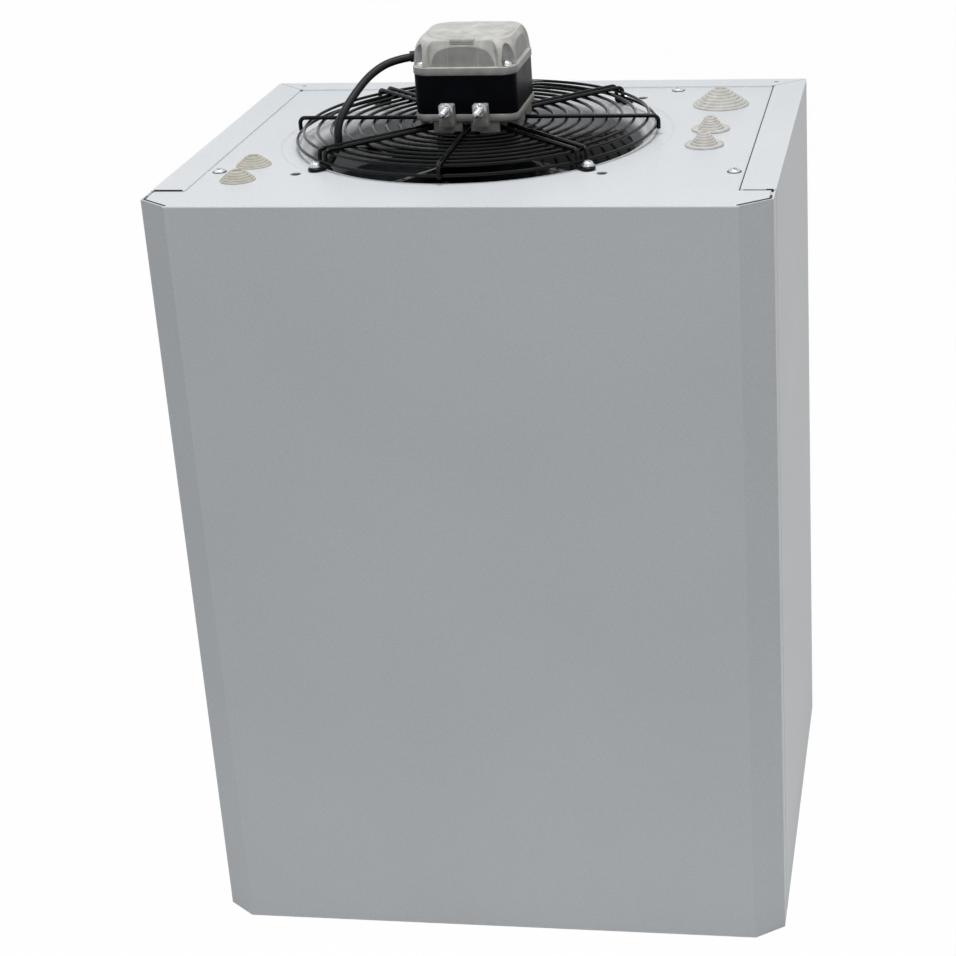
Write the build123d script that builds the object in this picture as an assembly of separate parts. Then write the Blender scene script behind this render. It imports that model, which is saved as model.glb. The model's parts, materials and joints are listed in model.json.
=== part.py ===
"""Walk-in unit cooler with one axial fan, as it stands on its air inlet end.

Millimetres, +Z up, +X to the right of the front panel, +Y to the back. The origin is the middle of
the casing's footprint, on the surface that it stands on. The fan face with the cable and pipe
entries is on top, and the finned coil lies across the casing near the open lower end.
"""
from build123d import *
from math import atan2, cos, degrees, hypot, pi, radians, sin, sqrt, tan
import os

# ================================================================ driving dimensions
# casing, folded from painted sheet
casing_width = 560.0
casing_depth = 465.0
casing_height = 735.0
sheet = 1.5
bend_radius = 2.0
seam = 2.5  # open seam between the front panel and the wrap
chamfer_width = 28.0  # slanted edge strips of the front panel
chamfer_depth = 22.0
lip_depth = 26.0  # side lips of the front panel
side_flange = 31.0  # folded flanges round both open ends
back_flange = 30.0
return_fold = 14.0  # stiffening folds along the seams
fold_clear_ends = 45.0  # the folds stop this far from both ends
mitre_cut = 0.8
mitre_hole = 1.8
slot_length = 5.0
slot_width = 1.8
slot_from_side = 30.0
slot_from_back = 13.0
notch_width = 5.0  # small notches in the front panel's end flanges
notch_from_side = 41.0
hanging_hole = 5.5  # radius
hanging_spread = 200.0  # from the middle to each column of holes
hanging_low = 110.0  # lower row above the floor
hanging_high = 115.0  # upper row below the top
clip_low = 180.0
clip_pitch = 190.0
clips_per_seam = 3
clip_height = 24.0
clip_grip = 9.0

# general clearances
fit = 0.4  # sheet parts that slide into each other, screws in their holes
seat = 0.3  # gap left where a piece rests on a curved one
running_fit = 0.05  # shaft in its bearings
past = 9.0  # how far a cutter runs past a sheet

# fan panel and its bell mouth
fan_x = -22.0
fan_y = 19.0
throat_radius = 158.0
bell_radius = 14.0
throat_depth = 36.0
seat_ring = 17.0  # width of the pressed ring that the guard stands on
seat_ring_drop = 1.2
seat_ring_slope = 2.5
guard_bolt_circle = 179.0  # radius
spare_start = 225.0
spare_bolt_circle = 200.0  # radius
spare_hole = 5.0  # radius
side_screw_inset = 42.0
left_screw_from_front = 118.5
right_screw_from_front = 113.5
back_screw_inset = 41.5
back_screw_spread = 152.0
rail_width = 48.5  # rails and brackets that carry the fan panel
rail_leg = 24.0
rail_front_gap = 6.0
rail_back_gap = 36.5
bracket_width = 40.0
bracket_tip = 9.0

# wire guard, heights above the fan panel
guard_wire = 3.0
guard_spoke = 4.0
guard_height = 17.0
guard_weld = 0.3
guard_pitch = 13.0
guard_inner_ring = 48.0
guard_rings = 10
guard_skirt_radius = 172.0
guard_skirt_height = 6.5
spoke_pair = 10.4  # spacing of the wires in a double spoke
spoke_start = 34.0
spoke_bend = 5.0
eye_radius = 5.0

# fan wheel, heights above the fan panel
tip_gap = 7.0
blades = 5
first_blade = 12.0  # angle
blade_thickness = 2.4
blade_level = -33.0  # middle of the blades
root_chord = 56.0
tip_chord = 104.0
root_pitch = 36.0
middle_pitch = 25.5
tip_pitch = 18.0
root_camber = 7.0
tip_camber = 5.0
hub_radius = 40.0
hub_top = 6.0
hub_height = 46.0
hub_wall = 3.0
hub_edge = 6.0
hub_boss = 9.0
shaft_radius = 4.0
shaft_nut_across = 13.0
shaft_nut_height = 4.5
shaft_washer_radius = 9.0
shaft_washer_height = 1.5

# motor, heights above the fan panel
motor_width = 100.0
motor_corner = 16.0
body_step = 2.5  # the sleeve between the end shields stands back by this
body_corner = 13.0
body_wall = 3.0
cover_base = 23.5
cover_band = 8.0
body_height = 36.5
cap_rim = 7.5
cap_dome = 24.0
cap_inset = 0.75  # step from the rim to the dome
cap_taper = 6.0
cap_top_radius = 43.0
cap_bow = 5.0  # two thirds up, the curve is this far inside the block's corners
cap_recess = 7.0  # radius of the round corner recesses
cap_recess_top = 4.0
scallop_width = 62.0
scallop_height = 19.8
scallop_depth = 5.5
disc_inset = 2.5
disc_rise = 1.0
disc_ridge = 19.0  # radius of the round ridge on the disc
disc_ridge_width = 2.0
disc_ridge_rise = 0.6
tab_width = 24.0
tab_reach = 4.5  # past the disc
leg_offset = 29.0
leg_radius = 7.0
leg_flare = 1.5  # wider at the band by this
ear_x = (-19.0, 14.0)
ear_width = 17.0
ear_depth = 8.0
ear_top = 41.5
ear_drop = 3.0
ear_root = 2.0
stud_level = 36.5
bearing_radius = 11.0
bearing_width = 7.0
bearing_wall = 4.0
bearing_step = 3.0
boss_gap = 6.0  # between the fan hub and the bearing boss
rotor_radius = 26.0
rotor_length = 22.0
rotor_rise = 8.0
air_gap = 0.5
stator_fit = 0.1

# screws, studs and washers: radii and lengths
guard_screw = 2.5
guard_screw_hole = 2.8
guard_screw_length = 14.0
guard_head = 5.2
guard_head_height = 3.6
guard_washer = 6.0
washer_height = 1.5
panel_screw = 2.4
panel_screw_hole = 2.7
panel_screw_length = 9.0
panel_head = 5.8
panel_head_height = 2.6
cap_screw_inset = 10.5  # from the motor's sides
cap_screw = 2.2
cap_head = 4.9
cap_head_height = 3.2
cap_screw_end = 2.0  # the cap screws stop this far above the cover's underside
leg_screw = 2.0
leg_head = 4.2
leg_head_height = 2.8
leg_screw_bite = 6.0
leg_washer = 5.2
stud_radius = 2.5
stud_length = 12.0
stud_bite = 6.0
stud_fit = 0.1
stud_washer = 5.2
stud_washer_height = 1.2
stud_nut_across = 8.0
stud_nut_height = 4.0

# cable and pipe entry caps
grommet_lip = 2.5  # the rim reaches past the hole by this
grommet_neck = 3.0
grommet_rim = 2.2
grommet_wall = 1.6
grommet_dimple = 3.0
pipe_inset = 78.5
large_from_back = 102.5
large_rim = 27.0
large_base = 24.5
large_tip = 6.5
large_height = 19.0
large_steps = 6
middle_from_back = 201.5
front_from_back = 259.5
small_rim = 18.0
small_base = 11.5
small_tip = 4.0
small_height = 20.0
small_steps = 5
cable_cap_inset = 67.5
cable_cap_from_front = (91.5, 142.5)
cable_cap_rim = 16.5
cable_cap_base = 14.5
cable_cap_tip = 8.5
cable_cap_height = 14.0
cable_cap_steps = 3

# coil
coil_bottom = 62.0
coil_height = 100.0
coil_back_gap = 32.0
tube_radius = 8.0
tube_pitch = 64.0
tube_columns = 6
tube_rows = 2
row_pitch = 50.0
bend_lead = 4.0  # straight ends of the return bends
bend_clearance = 21.0  # from the return bends to the casing walls
bend_flats = 6
fin_pitch = 10.0
fin_thickness = 1.0
fin_depth = 14.0
plate_rise = 43.0  # end plates above the coil
plate_foot_gap = 4.0
plate_top_gap = 20.0
baffle_leg = 18.0
baffle_edge = 22.0
heater_radius = 4.0
heater_overhang = 26.0
heater_cap_length = 18.0
heater_cap_wall = 2.0
heater_count = 3

# drain pan
pan_bottom = 34.0
pan_height = 330.0
pan_depth = 28.0
pan_gap = 4.0
spout_radius = 13.0
spout_wall = 1.6
spout_length = 26.0
spout_from_side = 78.0
hose_notch = 36.0  # width of the notch under the spout

# refrigerant lines in the pocket to the right of the coil
header_inset = 36.0
suction_radius = 11.0
suction_bend = 40.0
header_drop = 16.0
liquid_radius = 5.0
liquid_bend = 30.0
liquid_socket = 8.0
line_low = 173.5  # where the lines lean over to their entries, below the fan panel
line_high = 93.5
line_end_drop = 30.0
valve_from_tube = 10.0
valve_rise = 95.0
valve_height = 46.0
valve_radius = 8.0
valve_across = 22.0
valve_hex_low = 6.0
valve_hex_high = 20.0
head_level = 30.0
head_neck_radius = 7.0
head_neck_reach = 27.0
head_radius = 14.0
head_thickness = 6.0
cone_neck = 8.0
cone_slope = 18.0
cone_foot = 6.0
cone_radius = 14.0
feed_radius = 3.0
feed_spread = 7.0
feed_drop = 24.0
feed_rise = 28.0
feed_bend = 8.0
feed_stub = 12.0
line_slot_margin = 2.0
valve_slot_half = 14.0

# terminal box and motor cable
box_depth = 38.0
box_width = 96.0
box_height = 78.0
box_wall = 2.5
box_lid = 5.0
box_from_front = 83.5
box_drop = 62.0  # its top below the fan panel
box_edge = 2.0
gland_drop = 30.0
gland_radius = 7.0
gland_fit = 0.1
gland_shank = 8.0
gland_across = 20.0
gland_nut = 7.0
gland_dome = 8.0
gland_length = 15.0
gland_taper = 12.0
cable_radius = 3.75
cable_angle = 219.0  # where the cable passes the guard and the bell mouth, about the fan axis
cable_bore_tilt = 42.0
cable_bore_reach = 12.0
sleeve_radius = 5.5
sleeve_collar = 7.5
sleeve_span = (-4.0, -2.0, 7.0)  # collar start, collar end and sleeve end along the hole
exit_sleeve = 6.25
exit_sleeve_tip = 5.15
exit_sleeve_length = 10.0
exit_tip_length = 15.0

# ================================================================ derived places
panel_z = casing_height - sheet  # top face of the fan panel
half_width = casing_width / 2
inner_x = half_width - sheet
front_y = -casing_depth / 2
back_y = casing_depth / 2
inner_back_y = back_y - sheet
lip_y = front_y + chamfer_depth + lip_depth  # inner end of the front panel's lips and flanges
wrap_y = lip_y + seam
fan = (fan_x, fan_y)
hanging_holes = [(x, z) for x in (-hanging_spread, hanging_spread)
                 for z in (hanging_low, casing_height - hanging_high)]
panel_screws = ((-half_width + side_screw_inset, front_y + left_screw_from_front),
                (half_width - side_screw_inset, front_y + right_screw_from_front),
                (back_screw_spread, back_y - back_screw_inset),
                (-back_screw_spread, back_y - back_screw_inset))
pipe_x = half_width - pipe_inset
large_entry = (pipe_x, back_y - large_from_back)
middle_entry = (pipe_x, back_y - middle_from_back)
front_entry = (pipe_x, back_y - front_from_back)
cable_entries = [(-half_width + cable_cap_inset, front_y + y) for y in cable_cap_from_front]
entry_holes = [(large_entry, large_rim), (middle_entry, small_rim), (front_entry, small_rim)]
entry_holes += [(entry, cable_cap_rim) for entry in cable_entries]

hub_bottom = hub_top - hub_height
boss_bottom = hub_bottom + shaft_nut_height + shaft_washer_height
body_base = cover_base + cover_band
body_end = body_base + body_height
rim_end = body_end + cap_rim
dome_end = rim_end + cap_dome
disc_radius = cap_top_radius - disc_inset
rotor_base = body_base + rotor_rise
motor_body_width = motor_width - 2 * body_step
cap_screw_offset = motor_width / 2 - cap_screw_inset
eye_level = -seat_ring_drop + guard_spoke / 2  # middle of the guard's eyes on the pressed ring
leg_end = guard_height + guard_spoke / 2  # the motor's legs stand on the double spokes

coil_end = half_width - sheet - bend_clearance - tube_radius - tube_pitch / 2 - bend_lead - sheet
coil_front = front_y + sheet + pan_depth + pan_gap
coil_back = inner_back_y - coil_back_gap
coil_top = coil_bottom + coil_height
plate_top = coil_top + plate_rise
coil_middle = (coil_front + coil_back) / 2
tube_y = [coil_middle + tube_pitch * (i - (tube_columns - 1) / 2) for i in range(tube_columns)]
tube_z = [coil_bottom + coil_height / 2 + row_pitch * (i - (tube_rows - 1) / 2) for i in range(tube_rows)]
heater_y = [coil_middle + 2 * tube_pitch * (i - (heater_count - 1) / 2) for i in range(heater_count)]
heater_level = coil_bottom - seat - heater_radius
pan_half = coil_end - pan_gap
spout_x = pan_half - spout_from_side
header_x = half_width - header_inset
feed_y = tube_y[0] + valve_from_tube
valve_level = plate_top + valve_rise
line_end = panel_z - line_end_drop

box_x = -inner_x + box_depth  # face of the terminal box's lid
box_front = front_y + box_from_front
box_top = panel_z - box_drop
gland_y = box_front + box_width / 2
gland_z = box_top - gland_drop


# ================================================================ helpers
def block(x0, x1, y0, y1, z0, z1):
    """A box given by its limits."""
    return Pos((x0 + x1) / 2, (y0 + y1) / 2, (z0 + z1) / 2) * Box(x1 - x0, y1 - y0, z1 - z0)


def rod(x, y, z0, z1, radius):
    """A vertical cylinder."""
    return Pos(x, y, (z0 + z1) / 2) * Cylinder(radius, z1 - z0)


def rod_x(x0, x1, y, z, radius):
    """A cylinder along X."""
    return Pos((x0 + x1) / 2, y, z) * Rot(0, 90, 0) * Cylinder(radius, x1 - x0)


def rod_y(x, y0, y1, z, radius):
    """A cylinder along Y."""
    return Pos(x, (y0 + y1) / 2, z) * Rot(90, 0, 0) * Cylinder(radius, y1 - y0)


def plate(points, z0, z1):
    """A flat plate with the given outline."""
    return Pos(0, 0, z0) * extrude(make_face(Polyline(*points, close=True)), z1 - z0)


def turned(points):
    """A body of revolution about Z from (radius, height) points."""
    face = make_face(Polyline(*[(r, 0, z) for r, z in points], close=True))
    return revolve(face, Axis.Z)


def ring(inner, outer, z0, z1):
    """A flat ring or a short tube about Z."""
    return turned([(inner, z0), (outer, z0), (outer, z1), (inner, z1)])


def hexagon(z0, z1, across):
    """A hexagonal prism about Z, given by its width across flats."""
    return Pos(0, 0, z0) * extrude(RegularPolygon(across / 2, 6, major_radius=False), z1 - z0)


def pan_screw(head_radius, head_height, shank_radius, length):
    """A pan-head screw with its head on the level 0 and its shank below."""
    head = turned([(0, 0), (head_radius, 0), (head_radius, head_height * 0.45),
                   (head_radius * 0.62, head_height), (0, head_height)])
    return head + rod(0, 0, -length, 0, shank_radius)


def around(shape, count, start=0.0):
    """Copies of a shape turned about Z."""
    return [Rot(0, 0, start + 360.0 * i / count) * shape for i in range(count)]


def on_fan_axis(shape):
    """Moves a shape from the origin to the fan axis, on the fan panel."""
    return Pos(*fan, panel_z) * shape


def polar(radius, angle, z=0.0):
    """A point given by radius and angle about the fan axis."""
    a = radians(angle)
    return (fan_x + radius * cos(a), fan_y + radius * sin(a), z)


def tube(points, radius, bend):
    """A round tube along straight runs joined by arcs."""
    path = FilletPolyline(*points, radius=bend)
    direction = Vector(*points[1]) - Vector(*points[0])
    section = Plane(origin=points[0], z_dir=direction) * Circle(radius)
    return sweep(section, path=path)


nodes = {}


def add(name, *shapes):
    """Files shapes under a node name; several shapes stay separate solids."""
    nodes[name] = shapes[0] if len(shapes) == 1 else Compound(children=list(shapes))


# ================================================================ casing
def front_outline(inset):
    """Outline of the front panel's region, moved inwards by inset, up to the level of its lips."""
    slope = chamfer_depth / chamfer_width
    shift = inset * hypot(chamfer_width, chamfer_depth) / chamfer_width
    x_side = half_width - inset
    y_front = front_y + inset
    y_at_side = front_y + chamfer_depth + shift - inset * slope
    x_at_front = x_side - (y_at_side - y_front) / slope
    right = [(x_at_front, y_front), (x_side, y_at_side), (x_side, lip_y)]
    left = [(-x, y) for x, y in reversed(right)]
    return right + left


def end_flange():
    """Flange of the front panel over one end, cut back from the slanted strips by the open seam."""
    outline = front_outline(sheet + seam)
    corner_x = outline[0][0]
    flange = plate(outline, 0, sheet)
    flange += block(-corner_x, corner_x, front_y, front_y + 2 * (sheet + seam), 0, sheet)
    for x in (-half_width + notch_from_side, half_width - notch_from_side):
        flange -= block(x - notch_width / 2, x + notch_width / 2, lip_y - slot_width, lip_y + past,
                        -past, past)
    return flange


def front_panel():
    """Folded tray: front face, slanted edge strips, side lips with return folds and end flanges."""
    outer = plate(front_outline(0), 0, casing_height)
    inner = plate(front_outline(sheet), -past, casing_height + past)
    behind = block(-half_width, half_width, lip_y - 0.01, lip_y + past, -past, casing_height + past)
    tray = outer - inner - behind
    flange = end_flange()
    notch = block(spout_x - hose_notch / 2, spout_x + hose_notch / 2, front_y + sheet, lip_y + past,
                  -past, past)
    tray = tray + (flange - notch) + Pos(0, 0, casing_height - sheet) * flange
    for x0, x1 in ((-half_width, return_fold - half_width), (half_width - return_fold, half_width)):
        tray += block(x0, x1, lip_y - sheet, lip_y, fold_clear_ends, casing_height - fold_clear_ends)
    ends = [e for e in tray.edges().filter_by(Axis.X)
            if abs(e.center().Y - front_y) < 0.01
            and min(e.center().Z, casing_height - e.center().Z) < 0.01]
    return fillet(ends, bend_radius * 0.7)


def end_rim():
    """Folded flanges of the wrap round one open end, with mitre seams, relief holes and slots."""
    flange_x = half_width - side_flange
    flange_y = back_y - back_flange
    rim = block(-inner_x, inner_x, wrap_y, inner_back_y, 0, sheet)
    rim -= block(-flange_x, flange_x, wrap_y - past, flange_y, -past, past)
    dx, dy = side_flange - sheet, back_flange - sheet
    for side in (-1, 1):
        middle = (side * (inner_x - dx / 2), inner_back_y - dy / 2)
        turn = degrees(atan2(dy, side * dx))
        rim -= Pos(*middle, 0) * Rot(0, 0, turn) * Box(hypot(dx, dy) - 1.0, mitre_cut, 4 * sheet)
        rim -= rod(side * flange_x, flange_y, -past, past, mitre_hole)
        slot_x = side * (half_width - slot_from_side)
        rim -= Pos(slot_x, back_y - slot_from_back, 0) * Box(slot_length, slot_width, 4 * sheet)
    return rim


def casing_shell():
    """Wrap of both sides and the back in one sheet, with its end flanges and seam folds."""
    outer = block(-half_width, half_width, wrap_y, back_y, 0, casing_height)
    inner = block(-inner_x, inner_x, wrap_y - past, inner_back_y, -past, casing_height + past)
    wrap = outer - inner
    back_edges = [e for e in wrap.edges().filter_by(Axis.Z) if e.center().Y > back_y - 0.01]
    wrap = fillet(back_edges, bend_radius)
    rim = end_rim()
    shell = wrap + rim + Pos(0, 0, casing_height - sheet) * rim
    for x0, x1 in ((-half_width, return_fold - half_width), (half_width - return_fold, half_width)):
        shell += block(x0, x1, wrap_y, wrap_y + sheet, fold_clear_ends, casing_height - fold_clear_ends)
    for x, z in hanging_holes:
        shell -= rod_y(x, inner_back_y - past, back_y + past, z, hanging_hole)
    return shell


def seam_clips():
    """Spring clips over the two folds of each open seam, holding the front panel to the wrap."""
    fold_end = half_width - return_fold
    web = block(fold_end - sheet, fold_end, lip_y - 2 * sheet, wrap_y + 2 * sheet, 0, clip_height)
    legs = [block(fold_end, fold_end + clip_grip, y, y + sheet, 0, clip_height)
            for y in (lip_y - 2 * sheet, wrap_y + sheet)]
    clip = Pos(0, 0, clip_low - clip_height / 2) * (web + legs)
    right = [Pos(0, 0, clip_pitch * i) * clip for i in range(clips_per_seam)]
    return right + [mirror(one, Plane.YZ) for one in right]


# ================================================================ fan panel
def bell_profile():
    """Section of the pressed ring and bell mouth in the XZ plane, one sheet thick."""
    start = throat_radius + bell_radius
    ring_out = start + seat_ring
    foot = ring_out - seat_ring_slope
    level = -seat_ring_drop
    low = level - bell_radius
    end = low - throat_depth
    diagonal = sqrt(0.5)
    thin = bell_radius - sheet
    upper = [(ring_out, 0, 0), (foot, 0, level), (start, 0, level)]
    lower = [(start, 0, level - sheet), (foot, 0, level - sheet), (ring_out, 0, -sheet), (ring_out, 0, 0)]
    outside = (start - bell_radius * diagonal, 0, low + bell_radius * diagonal)
    inside = (start - thin * diagonal, 0, low + thin * diagonal)
    wall = [(throat_radius, 0, low), (throat_radius, 0, end),
            (throat_radius + sheet, 0, end), (throat_radius + sheet, 0, low)]
    lines = [Polyline(*upper), ThreePointArc(upper[-1], outside, wall[0]), Polyline(*wall),
             ThreePointArc(wall[-1], inside, lower[0]), Polyline(*lower)]
    return make_face(Wire([edge for line in lines for edge in line.edges()]))


def fan_panel():
    """Flat panel with the bell mouth, and the holes for the guard, entries, screws and cable."""
    side = front_outline(sheet + fit)
    x_side = side[1][0]
    y_back = inner_back_y - fit
    flat = plate(side[:2] + [(x_side, y_back), (-x_side, y_back)] + side[4:], -sheet, 0)
    flat -= rod(*fan, -past, past, throat_radius + bell_radius + seat_ring)
    panel = flat + Pos(*fan, 0) * revolve(bell_profile(), Axis.Z)
    spare = rod(spare_bolt_circle, 0, -past, past, spare_hole)
    screw = rod(guard_bolt_circle, 0, -past, past, guard_screw_hole)
    cuts = [Pos(*fan, 0) * one for one in around(spare, 4, spare_start) + around(screw, 4, 45)]
    cuts += [rod(x, y, -past, past, panel_screw_hole) for x, y in panel_screws]
    cuts += [rod(x, y, -past, past, rim - grommet_lip) for (x, y), rim in entry_holes]
    cuts += [cable_bore(sleeve_radius + fit / 2, -cable_bore_reach, cable_bore_reach)]
    return Pos(0, 0, panel_z) * (panel - cuts)


def cable_direction():
    """Unit vector along which the motor cable passes the bell mouth, outwards and down."""
    a, tilt = radians(cable_angle), radians(cable_bore_tilt)
    return Vector(cos(a) * cos(tilt), sin(a) * cos(tilt), -sin(tilt))


def cable_bore_point():
    """Middle of the cable hole, on the round of the bell mouth, relative to the fan panel."""
    tilt = radians(cable_bore_tilt)
    r = throat_radius + bell_radius * (1 - cos(tilt))
    z = -seat_ring_drop - bell_radius * (1 - sin(tilt))
    return Vector(*polar(r, cable_angle, z))


def cable_bore(radius, start, end):
    """A cylinder on the cable's line through the bell mouth, from start to end past its middle."""
    d = cable_direction()
    plane = Plane(origin=cable_bore_point() + d * start, z_dir=d)
    return extrude(plane * Circle(radius), end - start)


def panel_sleeve():
    """Rubber sleeve with a collar that lines the cable hole."""
    start, collar, end = sleeve_span
    body = cable_bore(sleeve_radius, start, end) + cable_bore(sleeve_collar, start, collar)
    return Pos(0, 0, panel_z) * (body - cable_bore(cable_radius, -cable_bore_reach, cable_bore_reach))


def panel_rails():
    """Angle rails under the left and right edges of the fan panel, screwed through it."""
    under = panel_z - sheet
    y0, y1 = wrap_y + rail_front_gap, back_y - rail_back_gap
    flat = block(inner_x - rail_width, inner_x, y0, y1, under - sheet, under)
    leg = block(inner_x - sheet, inner_x, y0, y1, under - rail_leg, under)
    right = flat + leg
    holes = [rod(x, y, under - past, under + past, panel_screw_hole) for x, y in panel_screws]
    return [rail - holes for rail in (mirror(right, Plane.YZ), right)]


def panel_brackets():
    """Short angles that carry the back edge of the fan panel at its two back screws."""
    under = panel_z - sheet
    brackets = []
    for x, y in panel_screws[2:]:
        x0, x1 = x - bracket_width / 2, x + bracket_width / 2
        flat = block(x0, x1, y - bracket_tip, inner_back_y, under - sheet, under)
        leg = block(x0, x1, inner_back_y - sheet, inner_back_y, under - rail_leg, under)
        brackets.append(flat + leg - rod(x, y, under - past, under + past, panel_screw_hole))
    return brackets


def step_grommet(rim, base, tip, height, steps):
    """Soft entry cap: a rim, then steps that narrow towards the tip, and a neck in the panel's hole."""
    hole = rim - grommet_lip - fit / 2
    foot = -sheet - grommet_neck
    width = (base - tip) / steps
    rise = (height - grommet_rim) / steps
    points = [(0, foot), (hole, foot), (hole, 0), (rim, 0), (rim - 0.6, grommet_rim)]
    for i in range(steps):
        r, z = base - i * width, grommet_rim + i * rise
        points += [(r, z), (r - 0.35 * width, z + rise)]
    edge, top = points[-1]
    inside, floor = edge - grommet_wall, top - grommet_dimple
    points += [(inside, top), (inside, floor), (0, floor)]
    return turned(points)


# ================================================================ wire guard
def spoke(lateral, end_radius, end_height):
    """A square wire from the middle outwards, bent down at its outer end."""
    path = FilletPolyline((spoke_start, 0, guard_height), (end_radius, 0, guard_height),
                          (end_radius, 0, end_height), radius=spoke_bend)
    start = Plane(origin=(spoke_start, 0, guard_height), z_dir=(1, 0, 0))
    return Pos(0, lateral, 0) * sweep(start * Rectangle(guard_spoke, guard_spoke), path=path)


def wire_ring(radius, z):
    """A ring of square wire about the fan axis."""
    h = guard_wire / 2
    return ring(radius - h, radius + h, z - h, z + h)


def double_spoke():
    """Two spokes joined by the flattened eye that the guard is screwed down by."""
    foot_x = guard_bolt_circle - guard_washer - seat - guard_spoke / 2
    outer, inner = eye_radius + guard_spoke / 2, eye_radius - guard_spoke / 2
    half = spoke_pair / 2 + guard_spoke / 2
    z0, z1 = eye_level - guard_spoke / 2, eye_level + guard_spoke / 2
    eye = rod(guard_bolt_circle, 0, z0, z1, outer)
    eye += block(foot_x - guard_spoke / 2, guard_bolt_circle, -half, half, z0, z1)
    eye -= rod(guard_bolt_circle, 0, z0 - past, z1 + past, inner)
    eye -= block(foot_x - past, guard_bolt_circle, -inner, inner, z0 - past, z1 + past)
    for side in (-1, 1):
        eye += spoke(side * spoke_pair / 2, foot_x, eye_level)
    return eye


def fan_guard():
    """Rings welded under four single and four double spokes, with a skirt ring near the panel."""
    ring_z = guard_height - guard_spoke / 2 - guard_wire / 2 + guard_weld
    parts = [wire_ring(guard_inner_ring + guard_pitch * i, ring_z) for i in range(guard_rings)]
    parts.append(wire_ring(guard_skirt_radius, guard_skirt_height))
    single_end = guard_skirt_radius + guard_wire / 2 - guard_weld + guard_spoke / 2
    parts += around(spoke(0, single_end, guard_skirt_height - guard_wire / 2), 4)
    parts += around(double_spoke(), 4, 45)
    return on_fan_axis(parts[0].fuse(*parts[1:]))


def guard_fasteners():
    """Screws and washers through the four eyes of the guard into the pressed ring."""
    eye_top = eye_level + guard_spoke / 2
    washer = ring(guard_screw + fit / 2, guard_washer, eye_top, eye_top + washer_height)
    screw = Pos(0, 0, eye_top + washer_height) * pan_screw(guard_head, guard_head_height,
                                                           guard_screw, guard_screw_length)
    out = Pos(guard_bolt_circle, 0, 0)
    screws = [on_fan_axis(one) for one in around(out * screw, 4, 45)]
    washers = [on_fan_axis(one) for one in around(out * washer, 4, 45)]
    return screws, washers


# ================================================================ fan wheel
def blade_section(radius, chord, pitch, camber):
    """A cambered blade section of even thickness on a plane across the blade."""
    half, t = chord / 2, blade_thickness
    lower = ThreePointArc((-half, 0), (0, camber), (half, 0))
    upper = ThreePointArc((-half, t), (0, camber + t), (half, t))
    ends = [Line((-half, 0), (-half, t)), Line((half, 0), (half, t))]
    face = make_face(Wire([lower, ends[1], upper, ends[0]]))
    return Plane(origin=(radius, 0, blade_level), x_dir=(0, 1, 0), z_dir=(1, 0, 0)) * Rot(0, 0, pitch) * face


def blade():
    """One twisted blade along +X, from inside the hub's wall to the tip circle."""
    root, tip = hub_radius - hub_wall, throat_radius - tip_gap
    body = loft([blade_section(root, root_chord, root_pitch, root_camber),
                 blade_section((hub_radius + tip) / 2, (root_chord + tip_chord) / 2, middle_pitch,
                               (root_camber + tip_camber) / 2),
                 blade_section(tip + hub_wall + past, tip_chord, tip_pitch, tip_camber)])
    low, high = blade_level - tip_chord, blade_level + tip_chord
    return (body & rod(0, 0, low, high, tip)) - rod(0, 0, low, high, root)


def fan_wheel():
    """Hub cup with a boss on the shaft and the blades in one piece."""
    bore, inside = shaft_radius + running_fit, hub_radius - hub_wall
    hub = turned([(bore, hub_top), (hub_radius - hub_edge, hub_top), (hub_radius, hub_top - hub_edge),
                  (hub_radius, hub_bottom), (inside, hub_bottom), (inside, hub_top - hub_edge - hub_wall / 3),
                  (inside - hub_edge + hub_wall * 2 / 3, hub_top - hub_wall), (hub_boss, hub_top - hub_wall),
                  (hub_boss, boss_bottom), (bore, boss_bottom)])
    return on_fan_axis(hub.fuse(*around(blade(), blades, first_blade)))


def motor_shaft():
    """Plain shaft from the nut under the hub up to the bearing in the motor's cap."""
    return on_fan_axis(rod(0, 0, hub_bottom, rim_end, shaft_radius))


def shaft_fasteners():
    """Washer and nut that hold the fan wheel on the shaft."""
    bore = shaft_radius + running_fit
    nut_end = hub_bottom + shaft_nut_height
    washer = ring(bore, shaft_washer_radius, nut_end, boss_bottom)
    nut = hexagon(hub_bottom, nut_end, shaft_nut_across) - rod(0, 0, hub_bottom - past, nut_end + past, bore)
    return on_fan_axis(washer), on_fan_axis(nut)


# ================================================================ motor
def rounded_square(width, corner, z0, z1, taper=0.0):
    """A square prism with round corners."""
    return Pos(0, 0, z0) * extrude(RectangleRounded(width, width, corner), z1 - z0, taper=taper)


def cap_screw_holes(z0, z1):
    """Cutters for the four long screws that hold the motor together."""
    return around(rod(cap_screw_offset, cap_screw_offset, z0, z1, cap_screw + fit / 2), 4)


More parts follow.
